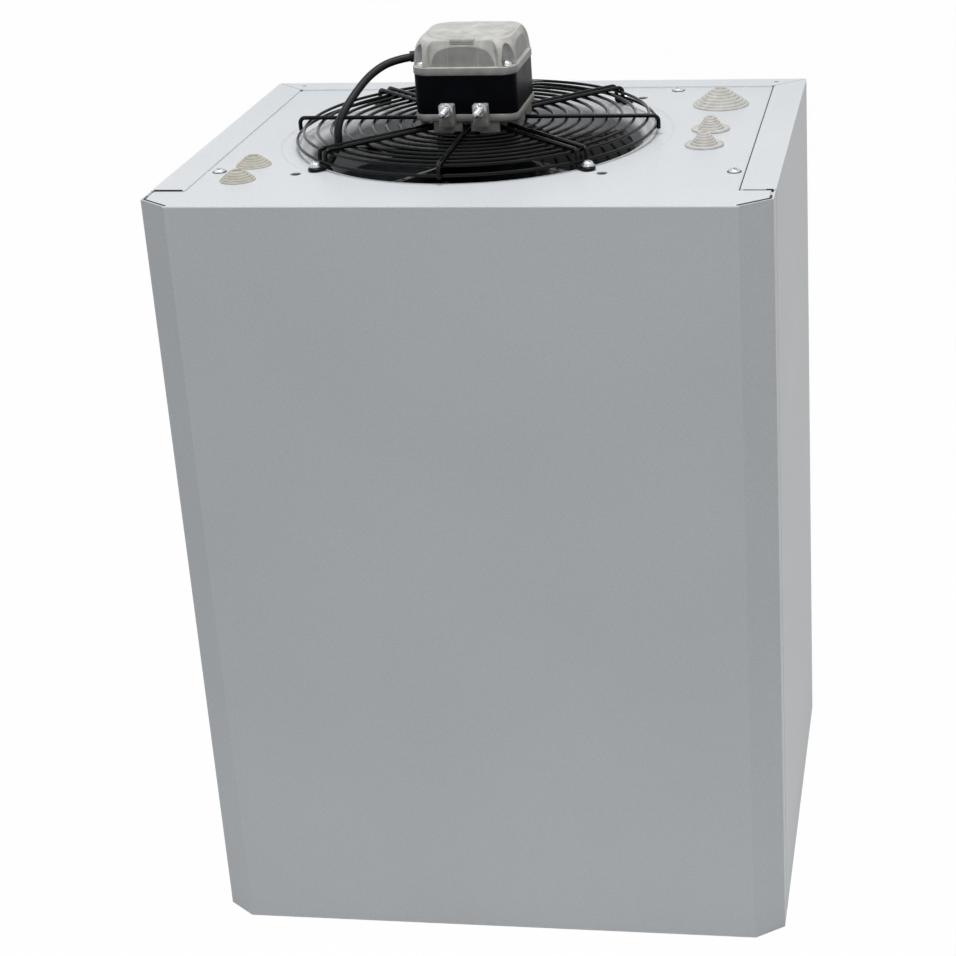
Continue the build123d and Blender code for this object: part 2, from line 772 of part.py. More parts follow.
def motor_cover():
    """Lower end shield: band, bearing boss, four legs on the double spokes and two stud ears."""
    cover = rounded_square(motor_width, motor_corner, cover_base, body_base)
    seat_top = body_base + bearing_step
    cover += rod(0, 0, hub_top + boss_gap, seat_top, bearing_radius + bearing_wall)
    leg = Pos(leg_offset, leg_offset, 0) * turned([(0, leg_end), (leg_radius, leg_end),
                                                   (leg_radius + leg_flare, cover_base + leg_flare), (0, cover_base + leg_flare)])
    leg_hole = rod(leg_offset, leg_offset, leg_end - past, leg_end + leg_screw_bite, leg_screw + fit / 2)
    cover = cover + around(leg, 4) - around(leg_hole, 4)
    front = -motor_width / 2
    for x in ear_x:
        cover += block(x - ear_width / 2, x + ear_width / 2, front - ear_depth, front + ear_root,
                       cover_base - ear_drop, ear_top)
        cover -= rod_y(x, front - 2 * ear_depth, front + ear_depth, stud_level, stud_radius + stud_fit)
    cover -= rod(0, 0, seat_top - bearing_width, seat_top + past, bearing_radius)
    cover -= rod(0, 0, hub_top, seat_top, shaft_radius + running_fit)
    return on_fan_axis(cover - cap_screw_holes(cover_base + cap_screw_end - fit, ear_top + past))


def motor_body():
    """Square sleeve of the motor between its two end shields."""
    body = rounded_square(motor_body_width, body_corner, body_base, body_end)
    body -= rounded_square(motor_body_width - 2 * body_wall, body_corner - body_wall,
                           body_base - past, body_end + past)
    return on_fan_axis(body)


def stator_core():
    """Laminated core pressed into the motor's sleeve, open for the rotor."""
    top = rotor_base + rotor_length
    core = rounded_square(motor_body_width - 2 * body_wall - 2 * stator_fit, body_corner - body_wall,
                          rotor_base, top)
    core -= rod(0, 0, rotor_base - past, top + past, rotor_radius + air_gap)
    return on_fan_axis(core - cap_screw_holes(rotor_base - past, top + past))


def motor_rotor():
    """Rotor on the shaft, as long as the core."""
    return on_fan_axis(ring(shaft_radius, rotor_radius, rotor_base, rotor_base + rotor_length))


def bearings():
    """Rings of the two bearings, in the cover and in the cap."""
    one = ring(shaft_radius + running_fit, bearing_radius, 0, bearing_width)
    levels = (body_base + bearing_step - bearing_width, rim_end - bearing_width)
    return [on_fan_axis(Pos(0, 0, z) * one) for z in levels]


def cap_block():
    """The cap above its rim: a leaning square block inside a dome of revolution, which rounds its corners
    more and more towards the top."""
    half = motor_width / 2 - cap_inset
    corner_reach = (half - motor_corner) * sqrt(2) + motor_corner
    bow = ThreePointArc((corner_reach, rim_end), (corner_reach - cap_bow, rim_end + cap_dome * 2 / 3),
                        (cap_top_radius, dome_end))
    rest = Polyline((cap_top_radius, dome_end), (0, dome_end), (0, rim_end), (corner_reach, rim_end))
    dome = revolve(make_face(Plane.XZ * Wire([bow, *rest.edges()])), Axis.Z)
    return rounded_square(2 * half, motor_corner, rim_end, dome_end, cap_taper) & dome


def cap_cutters():
    """One side's arched scallop and one corner's round screw recess, cut out of the dome."""
    arch = (scallop_width ** 2 / 4 + scallop_height ** 2) / (2 * scallop_height)
    centre = rim_end + scallop_height - arch
    side = -motor_width / 2
    scallop = rod_y(0, side - scallop_depth, side + scallop_depth, centre, arch)
    scallop &= block(-motor_width, motor_width, side - past, 0, rim_end, dome_end)
    recess = rod(cap_screw_offset, cap_screw_offset, rim_end, dome_end - cap_recess_top, cap_recess)
    return scallop, recess


def motor_cap():
    """Upper end shield: rim, tapered dome, arched scallops, screw recesses, raised disc and tab."""
    cap = rounded_square(motor_width, motor_corner, body_end, rim_end)
    dome = cap_block()
    for cutter in cap_cutters():
        dome -= around(cutter, 4)
    top = dome_end + disc_rise
    cap = cap + dome + rod(0, 0, rim_end + cap_dome / 2, top, disc_radius)
    cap += block(-tab_width / 2, tab_width / 2, -disc_radius - tab_reach, 0, rim_end + cap_dome / 2, top)
    cap += ring(disc_ridge, disc_ridge + disc_ridge_width, dome_end, top + disc_ridge_rise)
    cap -= rod(0, 0, body_end - past, rim_end - bearing_width, bearing_radius - 2)
    cap -= rod(0, 0, rim_end - bearing_width, rim_end, bearing_radius)
    cap -= rod(0, 0, rim_end - 1, rim_end + 3, shaft_radius + 2)
    cap -= cap_screw_holes(body_end - past, rim_end + sheet)
    return on_fan_axis(cap) - exit_cylinder(exit_sleeve, -past, 3 * past)


def motor_screws():
    """Cap screws, leg screws and leg washers."""
    cap_length = rim_end - cover_base - cap_screw_end
    one = Pos(cap_screw_offset, cap_screw_offset, rim_end) * pan_screw(cap_head, cap_head_height,
                                                                       cap_screw, cap_length)
    under = guard_height - guard_spoke / 2
    place = Pos(leg_offset, leg_offset, under - washer_height)
    leg_length = washer_height + guard_spoke + leg_screw_bite
    leg = place * Rot(180, 0, 0) * pan_screw(leg_head, leg_head_height, leg_screw, leg_length)
    washer = place * ring(leg_screw + fit / 2, leg_washer, 0, washer_height)
    return [[on_fan_axis(shape) for shape in around(part, 4)] for part in (one, leg, washer)]


def ear_fasteners():
    """Studs through the two ears, with a washer and a nut on each."""
    face = -motor_width / 2 - ear_depth
    nut_face = face - stud_washer_height
    studs, nuts = [], []
    for x in ear_x:
        hole = rod_y(x, face - stud_length - past, face + ear_depth, stud_level, stud_radius + stud_fit)
        studs.append(rod_y(x, face - stud_length, face + stud_bite, stud_level, stud_radius))
        washer = rod_y(x, nut_face, face, stud_level, stud_washer)
        nut = Pos(x, nut_face, stud_level) * Rot(90, 0, 0) * hexagon(0, stud_nut_height, stud_nut_across)
        nuts += [washer - hole, nut - hole]
    return [on_fan_axis(stud) for stud in studs], [on_fan_axis(nut) for nut in nuts]


# ================================================================ coil
def fin_block():
    """Finned core: the fins stand out of it on the air sides, and it is closed between them."""
    core = block(-coil_end, coil_end, coil_front, coil_back, coil_bottom, coil_top)
    gap = fin_pitch - fin_thickness
    count = int((2 * coil_end - fin_thickness) / fin_pitch)
    slots = []
    for i in range(count):
        x = fin_pitch * (i - (count - 1) / 2)
        for z0, z1 in ((coil_bottom - past, coil_bottom + fin_depth), (coil_top - fin_depth, coil_top + past)):
            slots.append(block(x - gap / 2, x + gap / 2, coil_front - past, coil_back + past, z0, z1))
    return core - slots


def coil_plates():
    """End plates of the coil: an upright that holds the tubes, a foot and a top flange to the wall."""
    x1 = coil_end + past
    bores = [rod_x(coil_end - past, x1, y, z, tube_radius + fit) for y in tube_y for z in tube_z]
    bores += [rod_x(coil_end - past, x1, y, heater_level, heater_radius + fit) for y in heater_y]
    upright = block(coil_end, coil_end + sheet, coil_front, coil_back, sheet, plate_top)
    foot = block(coil_end, inner_x, wrap_y + plate_foot_gap, coil_back, sheet, 2 * sheet)
    top = block(coil_end, inner_x, wrap_y + plate_top_gap, coil_back, plate_top - sheet, plate_top)
    right = (upright + foot + top) - bores
    slot_x = header_x - suction_radius - line_slot_margin
    slots = []
    for y, half in ((tube_y[-1], suction_radius + line_slot_margin), (feed_y, valve_slot_half)):
        slots.append(block(slot_x, half_width, y - half, y + half, plate_top - past, plate_top + past))
    return mirror(right, Plane.YZ), right - slots


def return_bend(side, y0, y1, z):
    """A return bend between two coil tubes; the tube is drawn with flats."""
    start = side * coil_end
    reach = side * (coil_end + sheet + bend_lead)
    top = (reach + side * (y1 - y0) / 2, (y0 + y1) / 2, z)
    path = Wire([Line((start, y0, z), (reach, y0, z)), ThreePointArc((reach, y0, z), top, (reach, y1, z)),
                 Line((reach, y1, z), (start, y1, z))])
    section = Plane(origin=(start, y0, z), z_dir=(side, 0, 0)) * RegularPolygon(tube_radius, bend_flats)
    return sweep(section, path=path)


def return_bends():
    """All return bends: they join the tubes in pairs at the left end and step over at the right."""
    bends = []
    for z in tube_z:
        bends += [return_bend(-1, tube_y[i], tube_y[i + 1], z) for i in range(0, tube_columns - 1, 2)]
        bends += [return_bend(1, tube_y[i], tube_y[i + 1], z) for i in range(1, tube_columns - 2, 2)]
    return bends


def riser(start_y, start_z, entry, radius, bend):
    """A line that rises beside the coil and leans over to its entry cap in the fan panel."""
    return tube([(header_x, start_y, start_z), (header_x, start_y, panel_z - line_low),
                 (*entry, panel_z - line_high), (*entry, line_end)], radius, bend)


def suction_line():
    """Header of both circuits and the line up to the large entry."""
    y = tube_y[-1]
    line = riser(y, tube_z[0] - header_drop, large_entry, suction_radius, suction_bend)
    for z in tube_z:
        line += rod_x(coil_end, header_x, y, z, tube_radius)
    return line


def liquid_line():
    """Line from the front entry down to the expansion valve."""
    start = valve_level + valve_height - liquid_socket
    return riser(feed_y, start, front_entry, liquid_radius, liquid_bend)


def expansion_valve():
    """Valve body with its hexagon and the round head of its diaphragm."""
    body = rod(0, 0, 0, valve_height, valve_radius)
    body += hexagon(valve_hex_low, valve_hex_high, valve_across)
    body += rod_x(-head_neck_reach, 0, 0, head_level, head_neck_radius)
    body += rod_x(-head_neck_reach - head_thickness + 1, 1 - head_neck_reach, 0, head_level, head_radius)
    body -= rod(0, 0, valve_height - liquid_socket, valve_height + past, liquid_radius + fit / 2)
    return Pos(header_x, feed_y, valve_level) * body


def distributor():
    """Cone under the valve with a feed pipe and a stub to the first tube of each row."""
    foot = -cone_neck - cone_slope
    cone = turned([(0, 0), (cone_neck, 0), (cone_neck, -cone_neck), (cone_radius, foot),
                   (cone_radius, foot - cone_foot), (0, foot - cone_foot)])
    cone = Pos(header_x, feed_y, valve_level) * cone
    start = valve_level + foot - cone_foot
    branches = []
    for i, level in enumerate(tube_z):
        x = header_x + feed_spread * (2 * i - 1)
        branches.append(tube([(x, feed_y, start), (x, feed_y, start - feed_drop),
                              (x, tube_y[0], level + feed_rise), (x, tube_y[0], level)],
                             feed_radius, feed_bend))
        branches.append(rod_x(coil_end, header_x + feed_stub, tube_y[0], level, tube_radius))
    return cone.fuse(*branches)


def defrost_heaters():
    """Rod heaters under the fins, with sealed ends outside the end plates."""
    reach = coil_end + heater_overhang
    rods = []
    for y in heater_y:
        heater = rod_x(-reach, reach, y, heater_level, heater_radius)
        for x in (-reach - heater_cap_length, reach):
            heater += rod_x(x, x + heater_cap_length, y, heater_level, heater_radius + heater_cap_wall)
        rods.append(heater)
    return rods


def drain_pan():
    """Shallow tray between the coil and the front panel, with its spout at the low end."""
    y0 = front_y + sheet
    top = pan_bottom + pan_height
    tray = block(-pan_half, pan_half, y0, y0 + pan_depth, pan_bottom, top)
    tray -= block(sheet - pan_half, pan_half - sheet, y0 + sheet, y0 + pan_depth + past,
                  pan_bottom + sheet, top + past)
    spout = (spout_x, y0 + pan_depth / 2)
    tray += rod(*spout, pan_bottom - spout_length, pan_bottom + sheet, spout_radius)
    return tray - rod(*spout, pan_bottom - spout_length - past, pan_bottom + past, spout_radius - spout_wall)


def coil_baffle():
    """Folded strip that closes the gap between the coil and the back of the casing."""
    flat = block(-coil_end, coil_end, coil_back, inner_back_y, coil_top - sheet, coil_top)
    leg = block(-coil_end, coil_end, inner_back_y - sheet, inner_back_y, coil_top, coil_top + baffle_leg)
    edge = block(-coil_end, coil_end, coil_back, coil_back + sheet, coil_top - baffle_edge, coil_top)
    return flat + leg + edge


# ================================================================ terminal box and motor cable
def terminal_box():
    """Open box on the left wall, behind its lid."""
    y1, z0 = box_front + box_width, box_top - box_height
    shell = block(-inner_x, box_x - box_lid, box_front, y1, z0, box_top)
    inside = block(box_wall - inner_x, box_x, box_front + box_wall, y1 - box_wall,
                   z0 + box_wall, box_top - box_wall)
    return shell - inside


def terminal_lid():
    """Lid with bevelled edges and the hole for the cable gland."""
    lid = block(box_x - box_lid, box_x, box_front, box_front + box_width, box_top - box_height, box_top)
    lid = chamfer(lid.edges().filter_by(Axis.X, reverse=True).group_by(Axis.X)[-1], box_edge)
    return lid - rod_x(box_x - box_lid - past, box_x + past, gland_y, gland_z, gland_radius)


def cable_gland():
    """Gland in the lid: shank, nut and tapered dome round the cable."""
    shank = rod(0, 0, 1 - gland_shank, 1, gland_radius - gland_fit)
    nut = hexagon(0, gland_nut, gland_across)
    dome = Pos(0, 0, gland_nut) * extrude(Circle(gland_dome), gland_length - gland_nut, taper=gland_taper)
    bore = rod(0, 0, -gland_shank - past, gland_length + past, cable_radius)
    return Pos(box_x, gland_y, gland_z) * Rot(0, 90, 0) * (shank + nut + dome - bore)


def cable_route():
    """Points of the motor cable: out of the cap, over, through the guard, the bell mouth and to the box."""
    above = [(-41, -18, 81), (-67, -26, 80), (-88, -45, 71), (-102, -73, 53)]
    route = [(fan_x + x, fan_y + y, z) for x, y, z in above]
    route.append(polar(145.4, cable_angle, 33))
    for along in (-23.3, 24):
        through = cable_bore_point() + cable_direction() * along
        route.append((through.X, through.Y, through.Z))
    drop = gland_z - panel_z
    route += [(box_x + 64.5, gland_y + 2, drop + 34), (box_x + 52.5, gland_y + 1, drop + 9),
              (box_x + 33.5, gland_y, drop), (box_x + 11, gland_y, drop)]
    return [(x, y, z + panel_z) for x, y, z in route]


def cable_bends(route):
    """The largest arcs that the runs beside each point allow."""
    radii = []
    for a, b, c in zip(route, route[1:], route[2:]):
        before, after = Vector(*b) - Vector(*a), Vector(*c) - Vector(*b)
        half_turn = radians(before.get_angle(after)) / 2
        radii.append(0.45 * min(before.length, after.length) / tan(half_turn))
    return radii


def motor_cable():
    """The cable's tube along its whole route, with its bends and length printed."""
    route = cable_route()
    radii = cable_bends(route)
    cable = tube(route, cable_radius, radii)
    length = FilletPolyline(*route, radius=radii).length
    print("cable bends, mm:", [round(r, 1) for r in radii])
    print("cable length, mm:", round(length, 1),
          "volume against section x length:", round(cable.volume / (pi * cable_radius ** 2 * length), 4))
    return cable


def exit_cylinder(radius, start, end):
    """A cylinder on the first run of the cable, measured from the cable's end in the motor cap."""
    first, second = (Vector(*p) for p in cable_route()[:2])
    direction = (second - first).normalized()
    return extrude(Plane(origin=first + direction * start, z_dir=direction) * Circle(radius), end - start)


def motor_sleeve():
    """Short rubber sleeve where the cable leaves the motor cap."""
    outer = exit_cylinder(exit_sleeve, 0, exit_sleeve_length)
    outer += exit_cylinder(exit_sleeve_tip, exit_sleeve_length, exit_tip_length)
    return outer - exit_cylinder(cable_radius, -past, exit_tip_length + past)


# ================================================================ assembly
def add_casing():
    add("casing_shell", casing_shell())
    add("front_panel", front_panel())
    add("seam_clips", *seam_clips())
    add("fan_panel", fan_panel())
    left, right = panel_rails()
    add("panel_rail_left", left)
    add("panel_rail_right", right)
    add("panel_brackets", *panel_brackets())
    screw = pan_screw(panel_head, panel_head_height, panel_screw, panel_screw_length)
    add("panel_screws", *[Pos(x, y, panel_z) * screw for x, y in panel_screws])


def add_entries():
    large = step_grommet(large_rim, large_base, large_tip, large_height, large_steps)
    small = step_grommet(small_rim, small_base, small_tip, small_height, small_steps)
    cable = step_grommet(cable_cap_rim, cable_cap_base, cable_cap_tip, cable_cap_height, cable_cap_steps)
    add("suction_line_grommet", Pos(*large_entry, panel_z) * large)
    add("line_entry_grommets", *[Pos(*entry, panel_z) * small for entry in (middle_entry, front_entry)])
    add("cable_entry_grommets", *[Pos(*entry, panel_z) * cable for entry in cable_entries])


def add_fan():
    add("fan_guard", fan_guard())
    screws, washers = guard_fasteners()
    add("guard_screws", *screws)
    add("guard_washers", *washers)
    add("fan_wheel", fan_wheel())
    add("motor_shaft", motor_shaft())
    washer, nut = shaft_fasteners()
    add("shaft_washer", washer)
    add("shaft_nut", nut)


def add_motor():
    add("motor_rotor", motor_rotor())
    add("motor_lower_cover", motor_cover())
    add("motor_body", motor_body())
    add("stator_core", stator_core())
    add("motor_bearings", *bearings())
    add("motor_cap", motor_cap())
    cap_screws, leg_screws, leg_washers = motor_screws()
    add("motor_cap_screws", *cap_screws)
    add("motor_leg_screws", *leg_screws)
    add("motor_leg_washers", *leg_washers)
    studs, nuts = ear_fasteners()
    add("motor_studs", *studs)
    add("stud_nuts", *nuts)


def add_cable():
    add("cable_sleeve_motor", motor_sleeve())
    add("cable_sleeve_panel", panel_sleeve())
    add("motor_cable", motor_cable())
    add("terminal_box", terminal_box())
    add("terminal_box_lid", terminal_lid())
    add("cable_gland", cable_gland())


def add_coil():
    add("coil_fin_block", fin_block())
    left, right = coil_plates()
    add("coil_plate_left", left)
    add("coil_plate_right", right)
    add("coil_return_bends", *return_bends())
    add("suction_line", suction_line())
    add("liquid_line", liquid_line())
    add("expansion_valve", expansion_valve())
    add("liquid_distributor", distributor())
    add("defrost_heaters", *defrost_heaters())
    add("drain_pan", drain_pan())
    add("coil_baffle", coil_baffle())


add_casing()
add_entries()
add_fan()
add_motor()
add_cable()
add_coil()
os.makedirs("parts", exist_ok=True)
for name, shape in nodes.items():
    export_step(shape, f"parts/{name}.step")
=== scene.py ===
"""Visual model of a unit cooler for a walk-in cold room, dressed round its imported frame.

Shapes are worked out with numpy in millimetres about the fan's axis and laid into the mesh in metres.
"""
import json
import math
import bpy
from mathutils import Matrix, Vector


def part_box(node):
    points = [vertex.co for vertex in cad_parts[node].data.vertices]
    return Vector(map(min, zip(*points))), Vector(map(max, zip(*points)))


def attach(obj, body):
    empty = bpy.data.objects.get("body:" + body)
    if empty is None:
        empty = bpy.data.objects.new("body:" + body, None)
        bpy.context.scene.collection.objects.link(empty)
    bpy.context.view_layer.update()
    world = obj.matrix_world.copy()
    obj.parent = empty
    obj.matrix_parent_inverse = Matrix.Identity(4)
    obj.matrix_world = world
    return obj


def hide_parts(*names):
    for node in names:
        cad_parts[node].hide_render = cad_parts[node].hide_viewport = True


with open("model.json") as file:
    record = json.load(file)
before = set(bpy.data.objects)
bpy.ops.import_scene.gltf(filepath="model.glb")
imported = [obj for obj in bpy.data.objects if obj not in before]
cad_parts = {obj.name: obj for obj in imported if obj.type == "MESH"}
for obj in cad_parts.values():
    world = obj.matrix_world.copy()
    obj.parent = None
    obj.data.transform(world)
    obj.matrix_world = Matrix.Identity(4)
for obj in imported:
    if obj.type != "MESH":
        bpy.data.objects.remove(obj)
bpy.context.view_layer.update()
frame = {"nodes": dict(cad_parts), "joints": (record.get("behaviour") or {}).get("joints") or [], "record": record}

from types import SimpleNamespace

import bmesh
import bpy
import numpy as np

MM = 0.001
fan_joint = frame["joints"][0]
cap_side, cap_low, rim_top, cap_rise = 46.0, 68.0, 75.5, 24.0
fan_axis = np.array([fan_joint["pos_m"][0], fan_joint["pos_m"][1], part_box("fan_panel")[1].z]) / MM
panel_top = fan_axis[2]
panel_origin = (0, 0, panel_top)


# ================================================================ meshes
def grid_faces(rows, cols, close_rows=False, close_cols=False):
    """Four-sided faces of a grid of points numbered row by row; a closed side joins the last line to the first."""
    r = np.arange(rows if close_rows else rows - 1)[:, None]
    c = np.arange(cols if close_cols else cols - 1)[None, :]
    up, along = (r + 1) % rows, (c + 1) % cols
    return np.stack([r * cols + c, r * cols + along, up * cols + along, up * cols + c], -1).reshape(-1, 4)


def sheet_of(points, close_rows=False, close_cols=False):
    """A grid of points as a patch: its points in one list and its faces."""
    rows, cols = points.shape[:2]
    return points.reshape(-1, 3), grid_faces(rows, cols, close_rows, close_cols)


def moved(patch, offset=(0, 0, 0), matrix=None):
    """The patch turned by a matrix and then shifted."""
    points, faces = patch
    if matrix is not None:
        points = points @ np.asarray(matrix, float).T
    return points + np.asarray(offset, float), faces


def turn_z(degrees):
    """Matrix of a turn about the upright axis."""
    a = math.radians(degrees)
    return np.array([[math.cos(a), -math.sin(a), 0], [math.sin(a), math.cos(a), 0], [0, 0, 1]])


def around(patch, count, start=0.0):
    """Copies of a patch evenly about the upright axis."""
    return [moved(patch, matrix=turn_z(start + 360.0 * i / count)) for i in range(count)]


def piece(name, patches, finish, body, replaced=(), origin=fan_axis, crease=35.0):
    """Joins patches given in millimetres into one object in metres, closes its seams and points its faces
    outwards."""
    points, faces, first = [], [], 0
    for p, f in patches:
        points.append(p)
        faces += (f + first).tolist()
        first += len(p)
    mesh = bpy.data.meshes.new(name)
    mesh.from_pydata(((np.concatenate(points) + origin) * MM).tolist(), [], faces)
    made = bmesh.new()
    made.from_mesh(mesh)
    bmesh.ops.remove_doubles(made, verts=made.verts, dist=1e-6)
    bmesh.ops.recalc_face_normals(made, faces=made.faces)
    made.to_mesh(mesh)
    made.free()
    mesh.polygons.foreach_set("use_smooth", np.ones(len(mesh.polygons), bool))
    mesh.set_sharp_from_angle(angle=math.radians(crease))
    mesh.materials.append(finish)
    obj = bpy.data.objects.new(name, mesh)
    bpy.context.scene.collection.objects.link(obj)
    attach(obj, body)
    if replaced:
        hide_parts(*replaced)
    return obj


def ease(t):
    """Smooth step from 0 to 1: three t squared less two t cubed, held at both ends."""
    t = np.clip(t, 0, 1)
    return t * t * (3 - 2 * t)


def lathe(profile, sides=64):
    """A profile of radius and height turned about the upright axis: each radius times the circle of directions."""
    profile = np.asarray(profile, float)
    a = np.linspace(0, 2 * math.pi, sides, endpoint=False)
    r, z = profile[:, :1], profile[:, 1:]
    points = np.stack([r * np.cos(a), r * np.sin(a), z + 0 * a], -1)
    return sheet_of(points, close_cols=True)


def smoothed(corners, radius, steps=4):
    """A profile whose corners are rounded: each corner becomes a quadratic curve from a point on one side of it
    to a point on the other, both at the given distance or half a run away."""
    c = np.asarray(corners, float)
    before, here, after = c[:-2], c[1:-1], c[2:]
    into, out = before - here, after - here
    reach_in = np.minimum(radius / np.linalg.norm(into, axis=1), 0.45)[:, None]
    reach_out = np.minimum(radius / np.linalg.norm(out, axis=1), 0.45)[:, None]
    a, b = here + into * reach_in, here + out * reach_out
    t = np.linspace(0, 1, steps)[None, :, None]
    curve = (1 - t) ** 2 * a[:, None] + 2 * t * (1 - t) * here[:, None] + t ** 2 * b[:, None]
    return np.concatenate([c[:1], curve.reshape(-1, c.shape[1]), c[-1:]])


def wire(path, side, radius, sides=10, closed=False):
    """A round wire: at each point of the path a circle in the plane of the side direction and of its cross
    product with the path's direction. The ends of an open wire are slightly domed."""
    path = np.asarray(path, float)
    side = np.broadcast_to(np.asarray(side, float), path.shape)
    if closed:
        along = np.roll(path, -1, 0) - np.roll(path, 1, 0)
    else:
        along = np.gradient(path, axis=0)
    along /= np.linalg.norm(along, axis=1)[:, None]
    side = side - (side * along).sum(1)[:, None] * along
    side /= np.linalg.norm(side, axis=1)[:, None]
    over = np.cross(along, side)
    r = np.full(len(path), float(radius))
    if not closed:
        dome = np.array([0.0, 0.6, 0.9]) * radius
        lift = np.array([1.0, 0.8, 0.45]) * radius * 0.4
        head = path[0] - along[0] * lift[:, None]
        tail = path[-1] + along[-1] * lift[::-1, None]
        path = np.concatenate([head, path, tail])
        side = np.concatenate([side[:1].repeat(3, 0), side, side[-1:].repeat(3, 0)])
        over = np.concatenate([over[:1].repeat(3, 0), over, over[-1:].repeat(3, 0)])
        r = np.concatenate([dome, r, dome[::-1]])
    a = np.linspace(0, 2 * math.pi, sides, endpoint=False)[None, :, None]
    r = r[:, None, None]
    points = path[:, None] + r * (np.cos(a) * side[:, None] + np.sin(a) * over[:, None])
    return sheet_of(points, close_rows=closed, close_cols=True)


def arc(centre, radius, start, end, steps, first, second):
    """Points on a circle: centre plus radius times the cosine along one direction and the sine along the other."""
    a = np.radians(np.linspace(start, end, steps))[:, None]
    return np.asarray(centre, float) + radius * (np.cos(a) * np.asarray(first, float)
                                                 + np.sin(a) * np.asarray(second, float))


# ================================================================ finishes
def srgb(r, g, b):
    """A colour given as on a screen, 0 to 255, as the linear colour a shader takes."""
    c = np.array([r, g, b]) / 255
    return tuple(np.where(c <= 0.04045, c / 12.92, ((c + 0.055) / 1.055) ** 2.4)) + (1.0,)


def new_finish(name, **sockets):
    """A material with its shader's sockets set by name; spaces in a name are written as underscores."""
    material = bpy.data.materials.new(name)
    material.use_nodes = True
    nodes, links = material.node_tree.nodes, material.node_tree.links
    shader = nodes["Principled BSDF"]
    for socket, value in sockets.items():
        shader.inputs[socket.replace("_", " ")].default_value = value
    place = nodes.new("ShaderNodeTexCoord").outputs["Object"]
    return SimpleNamespace(material=material, nodes=nodes, links=links, shader=shader, place=place)


def grain(f, scale, detail=3.0, stretch=(1, 1, 1), rough=0.55):
    """Noise on the object's own coordinates, in cycles per metre, stretched along an axis by a smaller factor."""
    mapping = f.nodes.new("ShaderNodeMapping")
    mapping.inputs["Scale"].default_value = stretch
    f.links.new(f.place, mapping.inputs["Vector"])
    node = f.nodes.new("ShaderNodeTexNoise")
    node.inputs["Scale"].default_value = scale
    node.inputs["Detail"].default_value = detail
    node.inputs["Roughness"].default_value = rough
    f.links.new(mapping.outputs["Vector"], node.inputs["Vector"])
    return node.outputs["Fac"]


def cells(f, scale):
    """A random colour for each Voronoi cell of the object's own coordinates."""
    node = f.nodes.new("ShaderNodeTexVoronoi")
    node.inputs["Scale"].default_value = scale
    f.links.new(f.place, node.inputs["Vector"])
    return node.outputs["Color"]


def ramp(f, value, *stops):
    """Colour by value: (place, colour) pairs."""
    node = f.nodes.new("ShaderNodeValToRGB")
    line = node.color_ramp
    while len(line.elements) < len(stops):
        line.elements.new(0.5)
    for element, (place, colour) in zip(line.elements, stops):
        element.position = place
        element.color = colour
    f.links.new(value, node.inputs["Fac"])
    return node.outputs["Color"]


def spread(f, value, low, high, start=0.3, end=0.7):
    """The value carried from its own range to another one."""
    node = f.nodes.new("ShaderNodeMapRange")
    for socket, number in (("From Min", start), ("From Max", end), ("To Min", low), ("To Max", high)):
        node.inputs[socket].default_value = number
    f.links.new(value, node.inputs["Value"])
    return node.outputs["Result"]


def figure(f, operation, *values):
    """One step of arithmetic on numbers and outputs."""
    node = f.nodes.new("ShaderNodeMath")
    node.operation = operation
    for socket, value in zip(node.inputs, values):
        if isinstance(value, (int, float)):
            socket.default_value = value
        else:
            f.links.new(value, socket)
    return node.outputs["Value"]


def sums(f, a, b, share):
    """One value plus a share of another."""
    return figure(f, "MULTIPLY_ADD", b, share, a)


def relief(f, height, distance):
    """Bump from a height, in metres at full height."""
    node = f.nodes.new("ShaderNodeBump")
    node.inputs["Distance"].default_value = distance
    node.inputs["Strength"].default_value = 1.0
    f.links.new(height, node.inputs["Height"])
    f.links.new(node.outputs["Normal"], f.shader.inputs["Normal"])


def colour_by(f, value, *stops):
    """Base colour from a value."""
    f.links.new(ramp(f, value, *stops), f.shader.inputs["Base Color"])


def rough_by(f, value, low, high):
    """Roughness from a value."""
    f.links.new(spread(f, value, low, high), f.shader.inputs["Roughness"])


def white_paint():
    """Semi-gloss powder coat: fine orange peel and the faint speckle of its grains."""
    f = new_finish("white_powder_coat", Specular_IOR_Level=0.08)
    cloud = grain(f, 5.0, 2.0)
    speck = grain(f, 650.0, 3.0, rough=0.7)
    colour_by(f, sums(f, speck, cloud, 0.25), (0.42, srgb(222, 227, 231)), (0.85, srgb(238, 242, 246)))
    rough_by(f, speck, 0.30, 0.42)
    relief(f, sums(f, grain(f, 420.0, 2.0), speck, 0.5), 0.00008)
    return f.material


def galvanised():
    """Zinc-coated sheet with pale and dark crystals."""
    f = new_finish("galvanised_sheet", Metallic=0.85, Specular_IOR_Level=0.5)
    spangle = cells(f, 95.0)
    colour_by(f, spangle, (0.2, srgb(164, 168, 172)), (0.8, srgb(204, 208, 211)))
    rough_by(f, grain(f, 160.0), 0.32, 0.5)
    relief(f, grain(f, 240.0), 0.00008)
    return f.material


def gloss_black(name, base, rough, peel, shine):
    """Gloss black coat with a slight orange peel and a trace of dust."""
    f = new_finish(name, Specular_IOR_Level=shine)
    dust = grain(f, 60.0, 4.0)
    dusty = tuple(np.array(base) * 1.6 + np.array([0.002, 0.002, 0.002, 0]))
    colour_by(f, dust, (0.4, base), (0.85, dusty))
    rough_by(f, dust, rough, rough + 0.08)
    relief(f, grain(f, 350.0, 2.0), peel)
    return f.material


def cast_colours(shade):
    """The three greys of the casting; the shade, 0 to 1, scales them as on a screen, and below 1 it paints shade
    into a darker copy.
    """
    greys = ((0.3, (184, 183, 179)), (0.55, (208, 207, 203)), (0.75, (226, 225, 222)))
    return [(place, srgb(*(shade * np.array(grey)))) for place, grey in greys]


